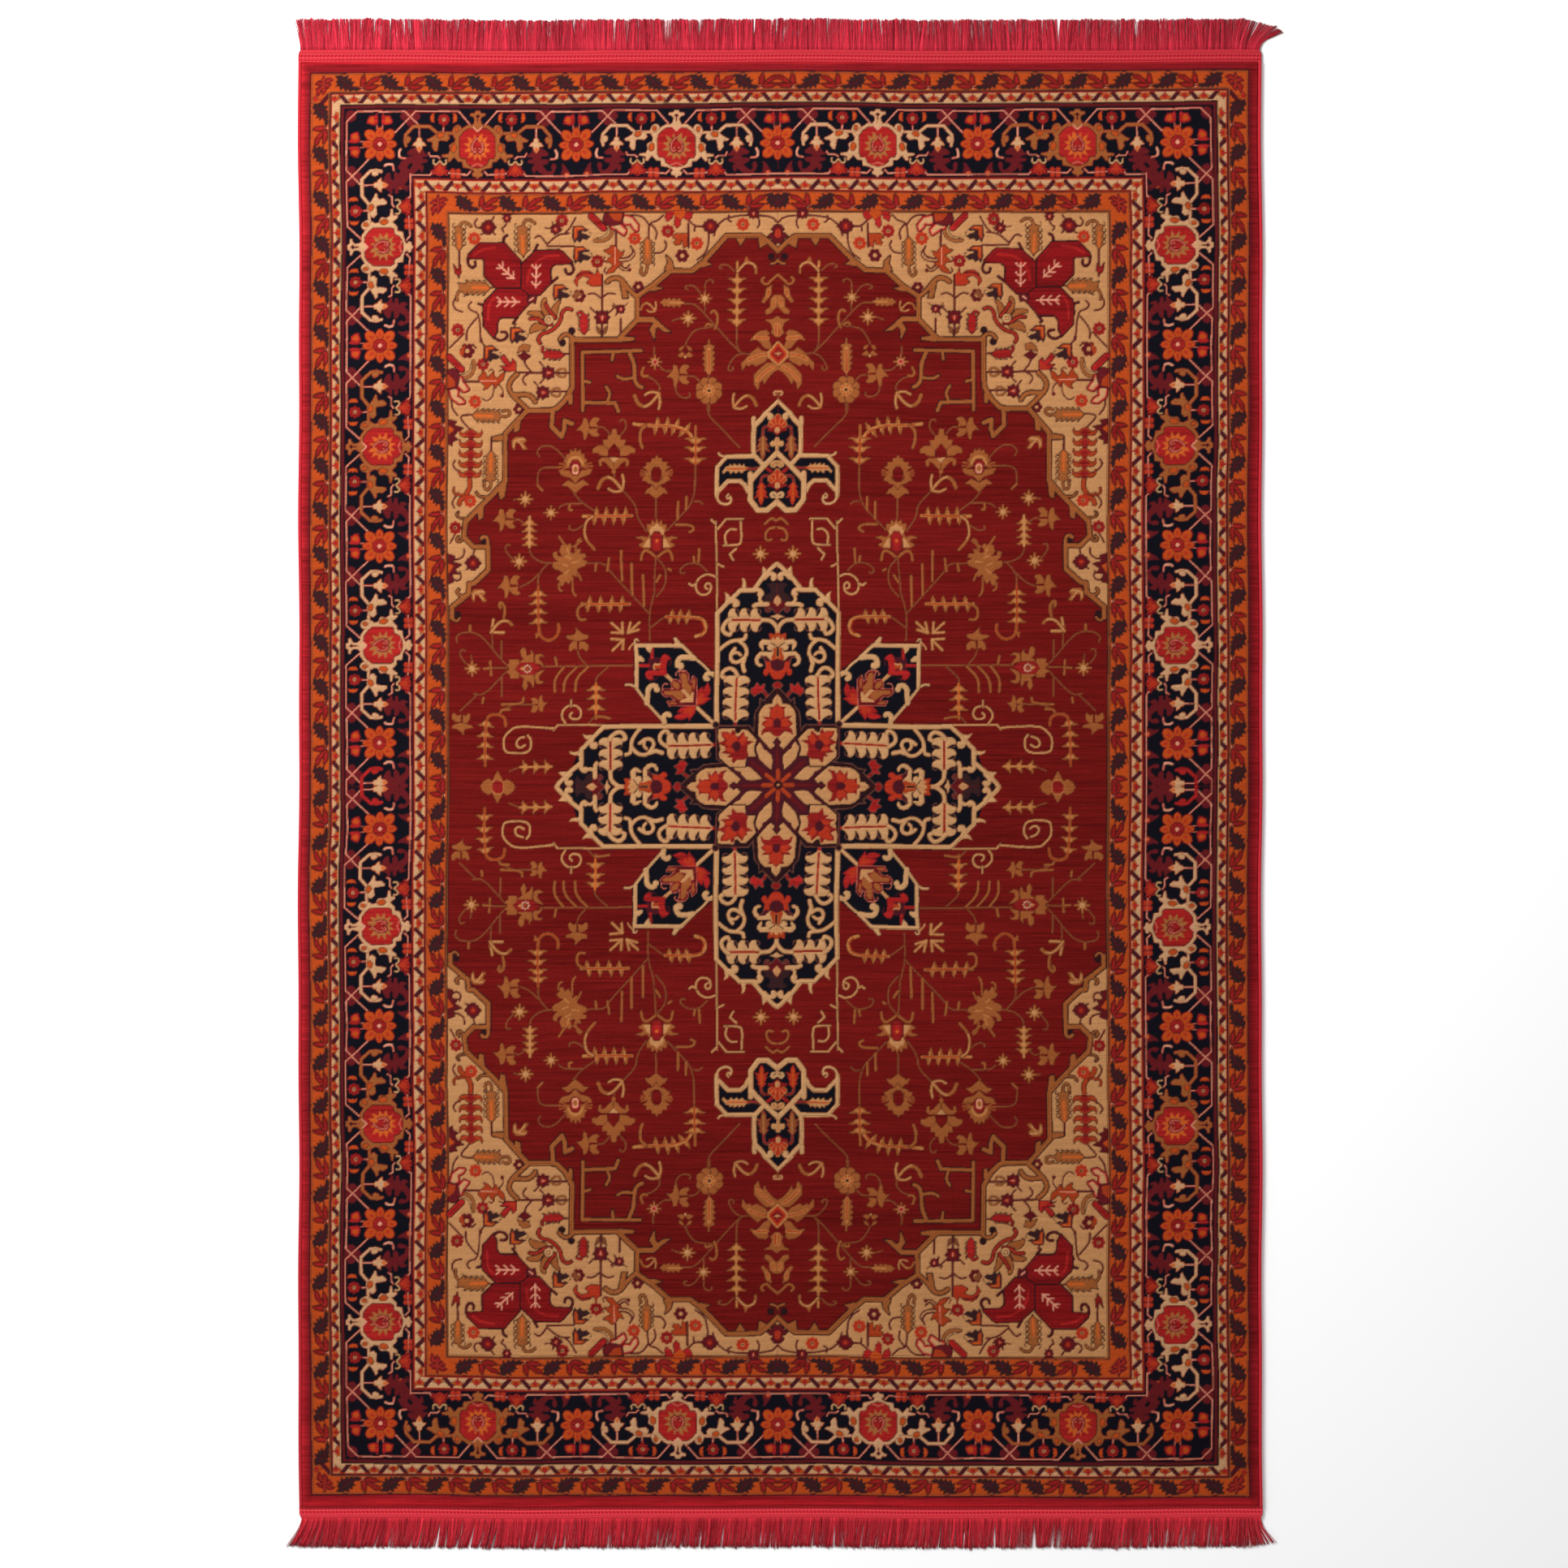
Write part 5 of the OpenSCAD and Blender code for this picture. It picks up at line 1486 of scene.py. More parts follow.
def pendant(p):
    """Ivory line work and flowers of the pendant at the medallion's end."""
    for stem in ([(11, 441.6), (16, 441.6), (17.4, 438), (17.6, 431)],
                 [(10, 381), (17, 381.6), (20, 377), (20, 371)], [(22, 391.4), (30, 390), (36, 391)]):
        p.cased(stem, 2.2, "brick", "dusk", 0.7)
    p.line([(4, 383), (13, 391)], 4.2, "brick", False)
    pendant_flower(p, 448.6)
    pendant_flower(p, 380.6)
    sawn_leaf(p, 17.4, 401.6, 30, "stalk", "brick", "bronze")
    sawn_leaf(p, 19.2, 345.6, 28, "scarlet", "brick", "orange")
    p.disc(0, 425, 3.2, "sand")
    p.disc(5, 420.4, 3.6, "sand")
    p.line([(0, 424), (0, 411)], 4.0, "sand", False)
    p.line([(0, 399), (6, 398)], 2.2, "sand")
    p.disc(4.4, 395, 4.2, "sand")
    p.line([(0, 397.6), (4, 396), (6, 392)], 0.8, "umber")
    p.disc(4.6, 357.8, 4.2, "ivory")
    p.line([(0, 358), (0, 348)], 3.6, "ivory", False)
    p.line([(2, 356), (5, 358.4)], 1.2, "ink", False)
    p.shape([(35, 390.4), (40, 394), (40.6, 396.4), (43, 394), (47, 397), (47.4, 394), (53, 397),
             (53.4, 394), (58, 396.4), (58, 394), (62, 393.4), (67, 387), (66, 384.4), (62, 388),
             (58, 387.6), (57, 384.4), (53, 387.6), (50, 385), (47, 388), (43, 385), (41, 387.6)], "sand",
            "umber", 0.4)
    p.line([(36, 390.6), (61, 390.6)], 2.0, "orange", False)
    ivory_work(p, [([(-2, 475.4), (0, 473.4), (9, 464.4), (17, 457)], 3.8),
                   ([(14, 459), (20, 451), (28, 443)], 5.2),
                   ([(29, 452), (28.6, 440), (29.2, 424), (28.6, 408)], 5.0),
                   ([(29, 408), (17, 395)], 4.8), ([(28, 406), (50, 406), (63, 405.6)], 4.6),
                   ([(62, 405.6), (73.4, 393)], 4.2), ([(73.6, 393), (74.2, 375), (73.8, 357)], 4.8),
                   ([(35, 362), (39, 370), (45, 375.4), (60, 375.4), (73, 362)], 4.6),
                   ([(-2, 411), (0, 409.4), (16, 393.6), (27, 382), (31.6, 376)], 5.6),
                   ([(32.6, 384), (32.6, 352), (23, 338.8), (12, 338.8), (0, 349), (-2, 350)], 6.0)],
               [([(16, 456), (10, 457.6), (7.4, 455)], 4.0),
                ([(74, 358), (72, 350.4), (66, 346.6), (59, 346.6), (55.4, 351), (57, 356)], 2.4),
                ([(57, 356), (60, 353), (62, 356.6), (59.4, 359)], 1.6),
                ([(63, 405.6), (70, 407), (72, 410)], 2.0)], [(9.2, 453, 3.2)])
    p.line([(0, 477), (0, 485)], 1.6, "stalk", False)
    p.line([(0.6, 485), (3.6, 485.4), (5.8, 483), (4, 480.6), (2.4, 481.6)], 1.9, "cream")


def quarter():
    """The whole quarter of the design, from the ground colours up."""
    loom = Loom(600, 900, "margin")
    pen = Pen(loom)
    borders(pen)
    x, y = EDGES["field"]
    pen.shape([(-1, 654)] + CORNER_EDGE + [(x, 214), (x, y), (-1, y)], "cream")
    corner_piece(pen)
    contour(pen)
    pen.shape([(-1, 120)] + MEDALLION_EDGE, "navy")
    pen.shape([(-1, 340)] + PENDANT_EDGE, "navy")
    field_motifs(pen)
    medallion_arms(pen)
    medallion_outline(pen)
    lobe_contents(pen)
    lobe_outline(pen)
    pen.shape([(-1, -1)] + STAR_EDGE, "maroon")
    star(pen)
    pendant(pen)
    return loom


# ------------------------------------------------------- from yarn to colour
KNOT = 1.6667  # mm
SHIFT = (-5.0, 3.0)  # the design's middle, mm
DRIFT, REACH = 4.1, 880.0  # the medallion sits a little nearer one end
SWING = 0.9  # how far the design swings from side to side across the rug, knots
SPREAD = 2.6  # how much further out its side bands lie, knots
HALF_W, HALF_L = 990.0, 1510.0  # half the rug without its fringes, mm
PILE_W, PILE_L = 982.0, 1484.0  # half the pile, mm
WEAVE_TOP, PILE_TOP = 3.0, 11.0  # heights over the floor, mm
GRID = KNOT * 1.25  # step of the pile's mesh, mm
DYE = 0.66  # share of a yarn's colour that is its own and not the light on it
PILE_EDGE = 4.0  # width of the rounding along the pile's outer edge, mm


def linear(rgb):
    """Display colours from 0 to 255 as the linear values that a material takes."""
    rgb = np.asarray(rgb, float) / 255
    return np.where(rgb <= 0.04045, rgb / 12.92, ((rgb + 0.055) / 1.055) ** 2.4)


def to_design(x, y):
    """Knots across and along from the middle of the design, for columns x and rows y in mm."""
    across = ((x - SHIFT[0]) / KNOT)[None, :]
    base = ((y - SHIFT[1]) / KNOT)[:, None]
    along = base
    for _ in range(4):
        along = base + DRIFT * (1 - (along / REACH) ** 2)
    # no real rug is quite square: it has racked by a knot or two on the loom
    u, v = across / EDGES["guard_outer_orange"][0], base / EDGES["guard_outer_orange"][1]
    rack_across = SWING * (np.sin(1.6 * math.pi * u) - 1) + 1.3 * v ** 2
    rack_across = rack_across + SPREAD * (np.clip(-5 * u - 3, 0, 1) + np.clip(5 * u - 4, 0, 1))
    rack_along = 0.6 * u ** 2 + 0.9 * v ** 2 - 2.0 * u * v
    return across - rack_across, along + rack_along


def blurred(image):
    """Each cell softened with its eight neighbours, most weight on the cell itself."""
    for axis in (0, 1):
        image = (np.roll(image, 1, axis) + 2 * image + np.roll(image, -1, axis)) / 4
    return image


def smooth_noise(rng, rows, cols, shape):
    """Random values on a coarse grid, run smoothly over an array of that shape."""
    coarse = rng.random((rows + 1, cols + 1))
    v = np.linspace(0, rows, shape[0], endpoint=False)
    u = np.linspace(0, cols, shape[1], endpoint=False)
    i, j = v.astype(int), u.astype(int)
    fv, fu = (v - i)[:, None], (u - j)[None, :]
    fv, fu = fv * fv * (3 - 2 * fv), fu * fu * (3 - 2 * fu)
    low = coarse[i][:, j] * (1 - fu) + coarse[i][:, j + 1] * fu
    high = coarse[i + 1][:, j] * (1 - fu) + coarse[i + 1][:, j + 1] * fu
    return low * (1 - fv) + high * fv


def sway(x, y):
    """The slight waves that a loom and a truck ride leave in straight edges, mm."""
    dx = 1.1 * np.sin(y / 137 + 0.6) + 0.7 * np.sin(y / 61 + 2.1) + 0.5 * np.sin(y / 313)
    dy = 1.0 * np.sin(x / 149 + 1.7) + 0.6 * np.sin(x / 67 + 0.4)
    return x + dx, y + dy


def pile_grid():
    """Vertex places of the whole pile in mm, its colours and its heights."""
    nx, ny = round(2 * PILE_W / GRID), round(2 * PILE_L / GRID)
    x = np.linspace(-PILE_W, PILE_W, nx + 1)
    y = np.linspace(-PILE_L, PILE_L, ny + 1)
    across, along = to_design(x, y)
    loom = quarter()
    yarns = linear(list(YARNS.values()))[loom.grid]
    image = blurred(yarns)
    rng = np.random.default_rng(7)
    shape = (ny + 1, nx + 1)
    wobble_a = 1.6 * (smooth_noise(rng, 34, 22, shape) - 0.5)
    wobble_b = 1.6 * (smooth_noise(rng, 34, 22, shape) - 0.5)
    a = across + wobble_a
    b = along + wobble_b
    row = np.clip((np.abs(b) * 2).astype(int), 0, loom.grid.shape[0] - 1)
    col = np.clip((np.abs(a) * 2).astype(int), 0, loom.grid.shape[1] - 1)
    colour = image[row, col]
    yarn = loom.grid[row, col]
    # margin: dark inside, crimson towards the tapes and the bindings
    guard_x, guard_y = EDGES["guard_outer_orange"]
    margin = yarn == NAMES.index("margin")
    near = np.clip((-b - 878) / 14, 0, 1)
    end = np.clip((b - 885) / 5, 0, 1)
    edge = np.clip((np.abs(a) - 580) / 8, 0, 1)
    rim = np.clip((np.abs(a) - 588) / 4, 0, 1)
    inner, crimson, deep, bright = linear([(138, 25, 32), (178, 30, 38), (108, 22.5, 28), (196, 38, 52)])
    tone = inner + (crimson - inner) * end[..., None]
    # painted light: the near end is painted brightest, to make up for the shade where the pile drops to the
    # tape
    tone = tone + (linear((200, 34, 42)) - tone) * near[..., None]
    side = deep + (linear((160, 28, 34)) - deep) * edge[..., None]
    # painted light: the left side of the margin is painted lighter and the right side darker, as if lit
    # from the left
    side = side * np.where(a < 0, 1.2, 0.84)[..., None]
    side = side + (bright - side) * rim[..., None]
    on_side = np.clip(0.5 + ((np.abs(a) - guard_x) - (np.abs(b) - guard_y)) / 16, 0, 1)[..., None]
    colour[margin] = (on_side * side + (1 - on_side) * tone)[margin]
    # streaks of lighter and darker dye along the wefts, strongest on the red ground
    rows = np.arange(shape[0])
    streak = np.zeros(shape)
    for cells, weight in ((9, 0.5), (22, 0.8), (48, 0.7)):
        fine = rng.random((shape[0], cells + 1)) - 0.5
        rng.random(shape[0])  # one number a row is left out between two sets of streaks
        u = np.linspace(0, cells, shape[1], endpoint=False)[None, :]
        j = u.astype(int)
        f = u - j
        streak += weight * (fine[rows[:, None], j] * (1 - f) + fine[rows[:, None], j + 1] * f)
    streak += 0.5 * (smooth_noise(rng, 60, 3, shape) - 0.5)
    redness = np.isin(yarn, [NAMES.index(n) for n in ("field", "corner_red", "margin", "red", "brick")])
    gain = 1 + streak * np.where(redness, 0.50, 0.15)
    # painted light: broad patches over the rug, a few per cent lighter or darker
    light = 1 + 0.10 * (smooth_noise(rng, 5, 3, shape) - 0.5)
    tufts = 1 + 0.18 * (rng.random(shape) - 0.5)
    colour = colour * (DYE * gain * light * tufts)[..., None]
    # the pile parts a little where two colours meet, and no two tufts are level
    shade = image.mean(-1)[row, col]
    slope = np.abs(np.gradient(shade, axis=0)) + np.abs(np.gradient(shade, axis=1))
    height = PILE_TOP - 0.15 + 0.3 * (rng.random(shape) - 0.5) - 0.5 * np.clip(slope * 6, 0, 1)
    height += 0.25 * (smooth_noise(rng, 300, 200, shape) - 0.5)
    # the pile rounds over towards the tapes and the bindings
    height -= 2.0 * np.clip((np.abs(y) - PILE_L + PILE_EDGE) / PILE_EDGE, 0, 1)[:, None]
    height -= 1.5 * np.clip((np.abs(x) - PILE_W + PILE_EDGE) / PILE_EDGE, 0, 1)[None, :]
    return x, y, colour, height


def inside(points, x, y):
    """Whether each place is inside a closed outline."""
    hit = np.zeros(x.shape, bool)
    for (x1, y1), (x2, y2) in zip(points, points[1:] + points[:1]):
        if y1 != y2:
            hit ^= ((y1 > y) != (y2 > y)) & (x < (x2 - x1) * (y - y1) / (y2 - y1) + x1)
    return hit


def regions(x, y):
    """The pile node that each cell of the grid belongs to, as a number into PILE."""
    a, b = to_design((x[1:] + x[:-1]) / 2, (y[1:] + y[:-1]) / 2)
    u, v = np.abs(a), np.abs(b)
    region = np.zeros(a.shape, np.int8)
    for k, name in enumerate(("guard_outer_orange", "guard_outer_cream", "stripe", "border",
                              "guard_inner_cream", "guard_inner_orange", "field"), 1):
        half = EDGES[name]
        region[(u < half[0]) & (v < half[1])] = k
    corner = (region == 7) & inside([(-9, 654)] + CORNER_EDGE + [(900, 214), (900, 900), (-9, 900)], u, v)
    region[corner & (b > 0) & (a < 0)] = 8
    region[corner & (b > 0) & (a >= 0)] = 9
    region[corner & (b <= 0) & (a < 0)] = 10
    region[corner & (b <= 0) & (a >= 0)] = 11
    region[inside(MEDALLION_EDGE, u, v)] = 12
    region[inside(STAR_EDGE, u, v)] = 13
    pendant_cells = inside(PENDANT_EDGE, u, v)
    region[pendant_cells & (b > 0)] = 14
    region[pendant_cells & (b <= 0)] = 15
    return region


# Each pile node and the name of its yarn, in the order of the regions
PILE = [
    ("pile_margin", "pile_red"), ("pile_guard_outer_orange", "pile_orange"),
    ("pile_guard_outer_cream", "pile_cream"), ("pile_stripe_maroon", "pile_maroon"),
    ("pile_border_navy", "pile_navy"), ("pile_guard_inner_cream", "pile_cream"),
    ("pile_guard_inner_orange", "pile_orange"), ("pile_field_red", "pile_red"),
    ("pile_corner_far_left", "pile_cream"), ("pile_corner_far_right", "pile_cream"),
    ("pile_corner_near_left", "pile_cream"), ("pile_corner_near_right", "pile_cream"),
    ("pile_medallion", "pile_navy"), ("pile_star", "pile_maroon"),
    ("pile_pendant_far", "pile_navy"), ("pile_pendant_near", "pile_navy"),
]


# ------------------------------------------------------------------- meshes
def make(name, places, faces, material, colour=None, smooth=True):
    """A mesh object from places in metres; faces is an array or a list of tuples."""
    mesh = bpy.data.meshes.new(name)
    if isinstance(faces, np.ndarray):
        size = faces.shape[1]
        mesh.vertices.add(len(places))
        mesh.vertices.foreach_set("co", np.asarray(places, np.float32).ravel())
        mesh.loops.add(faces.size)
        mesh.loops.foreach_set("vertex_index", faces.astype(np.int32).ravel())
        mesh.polygons.add(len(faces))
        mesh.polygons.foreach_set("loop_start", np.arange(0, faces.size, size, dtype=np.int32))
        mesh.polygons.foreach_set("loop_total", np.full(len(faces), size, np.int32))
    else:
        mesh.from_pydata([tuple(v) for v in places], [], faces)
    mesh.update(calc_edges=True)
    mesh.validate()
    if colour is not None:
        layer = mesh.color_attributes.new("yarn", "FLOAT_COLOR", "POINT")
        full = np.ones((len(mesh.vertices), 4), np.float32)
        full[:, :3] = colour
        layer.data.foreach_set("color", full.ravel())
    mesh.polygons.foreach_set("use_smooth", np.full(len(mesh.polygons), smooth))
    mesh.materials.append(material)
    piece = bpy.data.objects.new(name, mesh)
    bpy.context.scene.collection.objects.link(piece)
    return piece


def walls(cells):
    """Directed boundary edges of a set of grid cells, as pairs of vertex numbers."""
    rows, cols = cells.shape
    wide = cols + 1
    padded = np.pad(cells, 1)
    number = np.arange((rows + 1) * wide).reshape(rows + 1, wide)
    edges = []
    low = cells & ~padded[:-2, 1:-1]
    high = cells & ~padded[2:, 1:-1]
    left = cells & ~padded[1:-1, :-2]
    right = cells & ~padded[1:-1, 2:]
    edges.append(np.stack([number[:-1, :-1][low], number[:-1, 1:][low]], 1))
    edges.append(np.stack([number[1:, 1:][high], number[1:, :-1][high]], 1))
    edges.append(np.stack([number[1:, :-1][left], number[:-1, :-1][left]], 1))
    edges.append(np.stack([number[:-1, 1:][right], number[1:, 1:][right]], 1))
    return np.concatenate(edges)


def loops_of(edges):
    """Closed loops of vertex numbers from directed edges."""
    ahead = {}
    for start, end in edges.tolist():
        ahead.setdefault(start, []).append(end)
    loops = []
    while ahead:
        start = next(iter(ahead))
        loop, here = [], start
        while True:
            loop.append(here)
            ends = ahead[here]
            step = ends.pop()
            if not ends:
                del ahead[here]
            here = step
            if here == start:
                break
        loops.append(loop)
    return loops


def tufted(name, cells, x, y, colour, height, material):
    """A closed piece of pile: the cut face, its walls and the flat foot on the weave."""
    rows, cols = cells.shape
    wide = cols + 1
    number = np.arange((rows + 1) * wide).reshape(rows + 1, wide)
    quads = np.stack([number[:-1, :-1][cells], number[:-1, 1:][cells], number[1:, 1:][cells],
                      number[1:, :-1][cells]], 1)
    edges = walls(cells)
    used = np.unique(quads)
    rim = np.unique(edges)
    top = np.full(number.size, -1)
    top[used] = np.arange(len(used))
    foot = np.full(number.size, -1)
    foot[rim] = np.arange(len(rim)) + len(used)
    px, py = sway(*np.meshgrid(x, y))
    places = np.empty((len(used) + len(rim), 3))
    places[:len(used), 0] = px.ravel()[used]
    places[:len(used), 1] = py.ravel()[used]
    places[:len(used), 2] = height.ravel()[used]
    places[len(used):, 0] = px.ravel()[rim]
    places[len(used):, 1] = py.ravel()[rim]
    places[len(used):, 2] = WEAVE_TOP
    faces = [tuple(q) for q in top[quads].tolist()]
    faces += [(top[e[1]], top[e[0]], foot[e[0]], foot[e[1]]) for e in edges.tolist()]
    loops = loops_of(edges)
    flat = [[Vector((float(places[foot[v], 0]), float(places[foot[v], 1]), 0.0)) for v in loop]
            for loop in loops]
    order = [foot[v] for loop in loops for v in loop]
    for tri in tessellate_polygon(flat):
        a, b, c = (order[i] for i in tri)
        pa, pb, pc = places[a], places[b], places[c]
        turn = (pb[0] - pa[0]) * (pc[1] - pa[1]) - (pb[1] - pa[1]) * (pc[0] - pa[0])
        faces.append((a, c, b) if turn > 0 else (a, b, c))
    shades = np.concatenate([colour.reshape(-1, 3)[used], colour.reshape(-1, 3)[rim]])
    return make(name, places * MM, faces, material, shades)


# ---------------------------------------------------------------- materials
# Change of brightness from fibre to fibre, as a share
FIBRE_SPREAD = 0.16


def yarn_material(name, base=None, grain=900.0, bump=0.35, sheen=0.06, rough=0.95):
    """Matt yarn: its colour (from the mesh, or base) with a fine change from fibre to fibre."""
    material = bpy.data.materials.new(name)
    material.use_nodes = True
    nodes, links = material.node_tree.nodes, material.node_tree.links
    shader = nodes["Principled BSDF"]
    place = nodes.new("ShaderNodeTexCoord")
    fibre = nodes.new("ShaderNodeTexNoise")
    fibre.inputs["Scale"].default_value = grain
    fibre.inputs["Detail"].default_value = 3.0
    links.new(place.outputs["Object"], fibre.inputs["Vector"])
    tone = nodes.new("ShaderNodeMapRange")
    tone.inputs["To Min"].default_value = 1 - FIBRE_SPREAD
    tone.inputs["To Max"].default_value = 1 + FIBRE_SPREAD
    links.new(fibre.outputs["Fac"], tone.inputs["Value"])
    mix = nodes.new("ShaderNodeVectorMath")
    mix.operation = "SCALE"
    if base is None:
        source = nodes.new("ShaderNodeAttribute")
        source.attribute_name = "yarn"
        links.new(source.outputs["Color"], mix.inputs[0])
    else:
        cloud = nodes.new("ShaderNodeTexNoise")
        cloud.inputs["Scale"].default_value = 14.0
        links.new(place.outputs["Object"], cloud.inputs["Vector"])
        ramp = nodes.new("ShaderNodeValToRGB")
        low, high = linear(base) * 0.8, linear(base) * 1.2
        ramp.color_ramp.elements[0].color = (*low, 1)
        ramp.color_ramp.elements[0].position = 0.3
        ramp.color_ramp.elements[1].color = (*high, 1)
        ramp.color_ramp.elements[1].position = 0.7
        links.new(cloud.outputs["Fac"], ramp.inputs["Fac"])
        links.new(ramp.outputs["Color"], mix.inputs[0])
    links.new(tone.outputs["Result"], mix.inputs["Scale"])
    links.new(mix.outputs["Vector"], shader.inputs["Base Color"])
    rise = nodes.new("ShaderNodeBump")
    rise.inputs["Strength"].default_value = bump
    rise.inputs["Distance"].default_value = 0.0008
    links.new(fibre.outputs["Fac"], rise.inputs["Height"])
    links.new(rise.outputs["Normal"], shader.inputs["Normal"])
    shader.inputs["Roughness"].default_value = rough
    shader.inputs["Specular IOR Level"].default_value = 0.03
    shader.inputs["Sheen Weight"].default_value = sheen
    shader.inputs["Sheen Roughness"].default_value = 0.3
    shader.inputs["Sheen Tint"].default_value = (1.0, 0.55, 0.45, 1)
    return material


# ------------------------------------------------------------------ the rug
x, y, colour, height = pile_grid()
region = regions(x, y)
pile_material = yarn_material("pile_yarn")
for k, (node, slot_name) in enumerate(PILE):
    piece = tufted(node.replace("pile_", "tufts_"), region == k, x, y, colour, height, pile_material)
    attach(piece, "rug")
    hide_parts(node)


# ------------------------------------------------- back, weave and bindings
def slab(name, half_w, half_l, low, high, cell, material, rise=0.0):
    """A closed flat layer, in mm, that follows the rug's slight waves."""
    nx, ny = round(2 * half_w / cell), round(2 * half_l / cell)
    px, py = np.meshgrid(np.linspace(-half_w, half_w, nx + 1), np.linspace(-half_l, half_l, ny + 1))
    sx, sy = sway(px, py)
    count = px.size
    number = np.arange(count).reshape(px.shape)
    ribs = rise * (np.arange(px.shape[0])[:, None] % 2 - 0.5) * np.ones(px.shape)
    places = np.concatenate([np.stack([sx, sy, np.full(px.shape, high)], -1).reshape(-1, 3),
                             np.stack([sx, sy, low + rise / 2 + ribs], -1).reshape(-1, 3)])
    up = np.stack([number[:-1, :-1], number[:-1, 1:], number[1:, 1:], number[1:, :-1]], -1).reshape(-1, 4)
    down = up[:, ::-1] + count
    ring = np.concatenate([number[0, :-1], number[:-1, -1], number[-1, :0:-1], number[:0:-1, 0]])
    after = np.roll(ring, -1)
    side = np.stack([ring, ring + count, after + count, after], 1)
    return make(name, places * MM, np.concatenate([up, down, side]), material)


def tube(name, outline, material, colour=None):
    """A closed sweep: outline[i] holds the ring of places at its step i, in mm."""
    steps, around = outline.shape[:2]
    number = np.arange(steps * around).reshape(steps, around)
    ahead = np.roll(number, -1, 1)
    sides = np.stack([number[:-1], ahead[:-1], ahead[1:], number[1:]], -1).reshape(-1, 4)
    faces = [tuple(f) for f in sides.tolist()]
    faces.append(tuple(number[0, ::-1].tolist()))
    faces.append(tuple(number[-1].tolist()))
    return make(name, outline.reshape(-1, 3) * MM, faces, material, colour)


WRAP = 3.4  # spacing of the overcast turns, mm
STROKE = 7.8  # spacing of the tape's slanting strokes, mm
STITCH = 4.6  # spacing of the lock stitches, mm


def overcast(name, side, material):
    """The bound long edge: yarn wrapped round it from end to end."""
    steps = round(2 * PILE_L / 0.85)
    y = np.linspace(-PILE_L, PILE_L, steps)
    turn = np.linspace(0, 2 * math.pi, 16, endpoint=False)
    low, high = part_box("binding_right")
    middle = (low + high) / 2 / MM
    half = (high - low) / 2 / MM
    wrap = np.abs(np.sin(math.pi * (y[:, None] / WRAP + turn[None, :] / (2 * math.pi))))
    swell = 1 - 0.09 * (1 - wrap) ** 2
    across = np.sign(np.cos(turn)) * np.abs(np.cos(turn)) ** 0.75
    rise = np.sign(np.sin(turn)) * np.abs(np.sin(turn)) ** 0.75
    px = side * middle[0] + half[0] * across * swell
    pz = middle[2] + half[2] * rise * swell
    sx, sy = sway(np.full(y.shape, side * middle[0]), y)
    px = px + (sx - side * middle[0])[:, None]
    ring = np.stack([px, np.broadcast_to(sy[:, None], px.shape), pz], -1)
    # painted light: each turn of the wrap is painted light on its crest and dark between turns, painted
    # shade in the creases, with a painted highlight on the outer face
    edge, bright, deep = linear([(216, 50, 62), (240, 88, 100), (160, 32, 42)])
    lit = wrap[..., None] * np.ones(3)
    outer = np.clip(side * across, -1, 1)[None, :, None]
    colour = deep + (edge - deep) * np.clip(lit * 1.3, 0, 1)
    colour = colour + (bright - colour) * 0.5 * np.clip(outer - 0.2, 0, 1) * lit
    # painted light: the right binding is painted brighter and the left a little darker, evening the two
    # sides out under the lamp
    colour = colour * (1.2 if side > 0 else 0.96)
    return tube(name, ring, material, (DYE * colour).reshape(-1, 3))


def braid(name, end, material):
    """The woven tape on a short end: rows of stitches with slanting strokes between them."""
    steps = round(2 * HALF_W / 1.3)
    u = np.linspace(-1, 1, steps)
    low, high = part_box("fringe_tape_far")
    width = (high[1] - low[1]) / MM
    v = np.linspace(0, width, 33)
    su, sv = np.meshgrid(u, v, indexing="ij")
    reach = HALF_W - 6.0 * np.clip((sv - 13) / 13, 0, 1) ** 2
    px = su * reach
    py = end * (low[1] / MM + sv)

    def row(start, stop):
        """Slanting strokes between two lines along the tape, mm from its inner edge."""
        t = (sv - start) / (stop - start)
        stroke = 0.5 - 0.5 * np.sin(2 * math.pi * (px / STROKE - 0.5 * t))
        return np.where((t > 0) & (t < 1), stroke * np.sin(math.pi * np.clip(t, 0, 1)) ** 0.5, 0)

    dip = row(1.4, 7.8) + row(9.0, 15.6)
    line = sum(np.exp(-((sv - spot) / 0.9) ** 2) for spot in (0.9, 8.3, 16.3))
    line = line * (0.55 + 0.45 * np.sin(2 * math.pi * px / STROKE) ** 2)
    strand = np.clip((sv - 17) / 1.5, 0, 1) * np.sin(2 * math.pi * px / STROKE + 1.4 * np.sin(px / 17)) ** 2
    groove = np.exp(-((sv - 17.4) / 0.7) ** 2)
    pz = high[2] / MM - 0.45 + 0.4 * line - 0.45 * dip - 0.3 * groove + 0.25 * strand
    pz -= 1.6 * np.clip((sv - 22) / 4, 0, 1) ** 2 + 0.5 * np.clip((0.8 - sv) / 0.8, 0, 1)
    sx, sy = sway(px, py)
    top = np.stack([sx, sy, pz], -1)
    foot = top[:, [-1, 0]].copy()
    foot[..., 2] = WEAVE_TOP
    ring = np.concatenate([top, foot], 1)
    if end < 0:
        ring = ring[:, ::-1]
    # painted light: the raised lines and strands are painted a lit red and the dipped rows and the groove a
    # shaded red, painted highlight and painted shade that follow the tape's relief
    plain, lit, deep = linear([(210, 46, 58), (244, 86, 92), (140, 20, 36)])
    colour = plain + (lit - plain) * np.clip(line + 0.3 * strand, 0, 1)[..., None]
    shaded = np.clip(0.9 * dip + 0.6 * groove + 0.5 * (sv > 17.6) * (1 - strand), 0, 1)
    colour = colour + (deep - colour) * shaded[..., None]
    colour = np.concatenate([colour, colour[:, [-1, 0]]], 1)
    # painted light: the near tape is painted half again as bright, lifting the end that the lamp leaves
    # darker
    if end < 0:
        colour = colour[:, ::-1] * 1.5
    return tube(name, ring[::-1], material, (DYE * colour)[::-1].reshape(-1, 3))


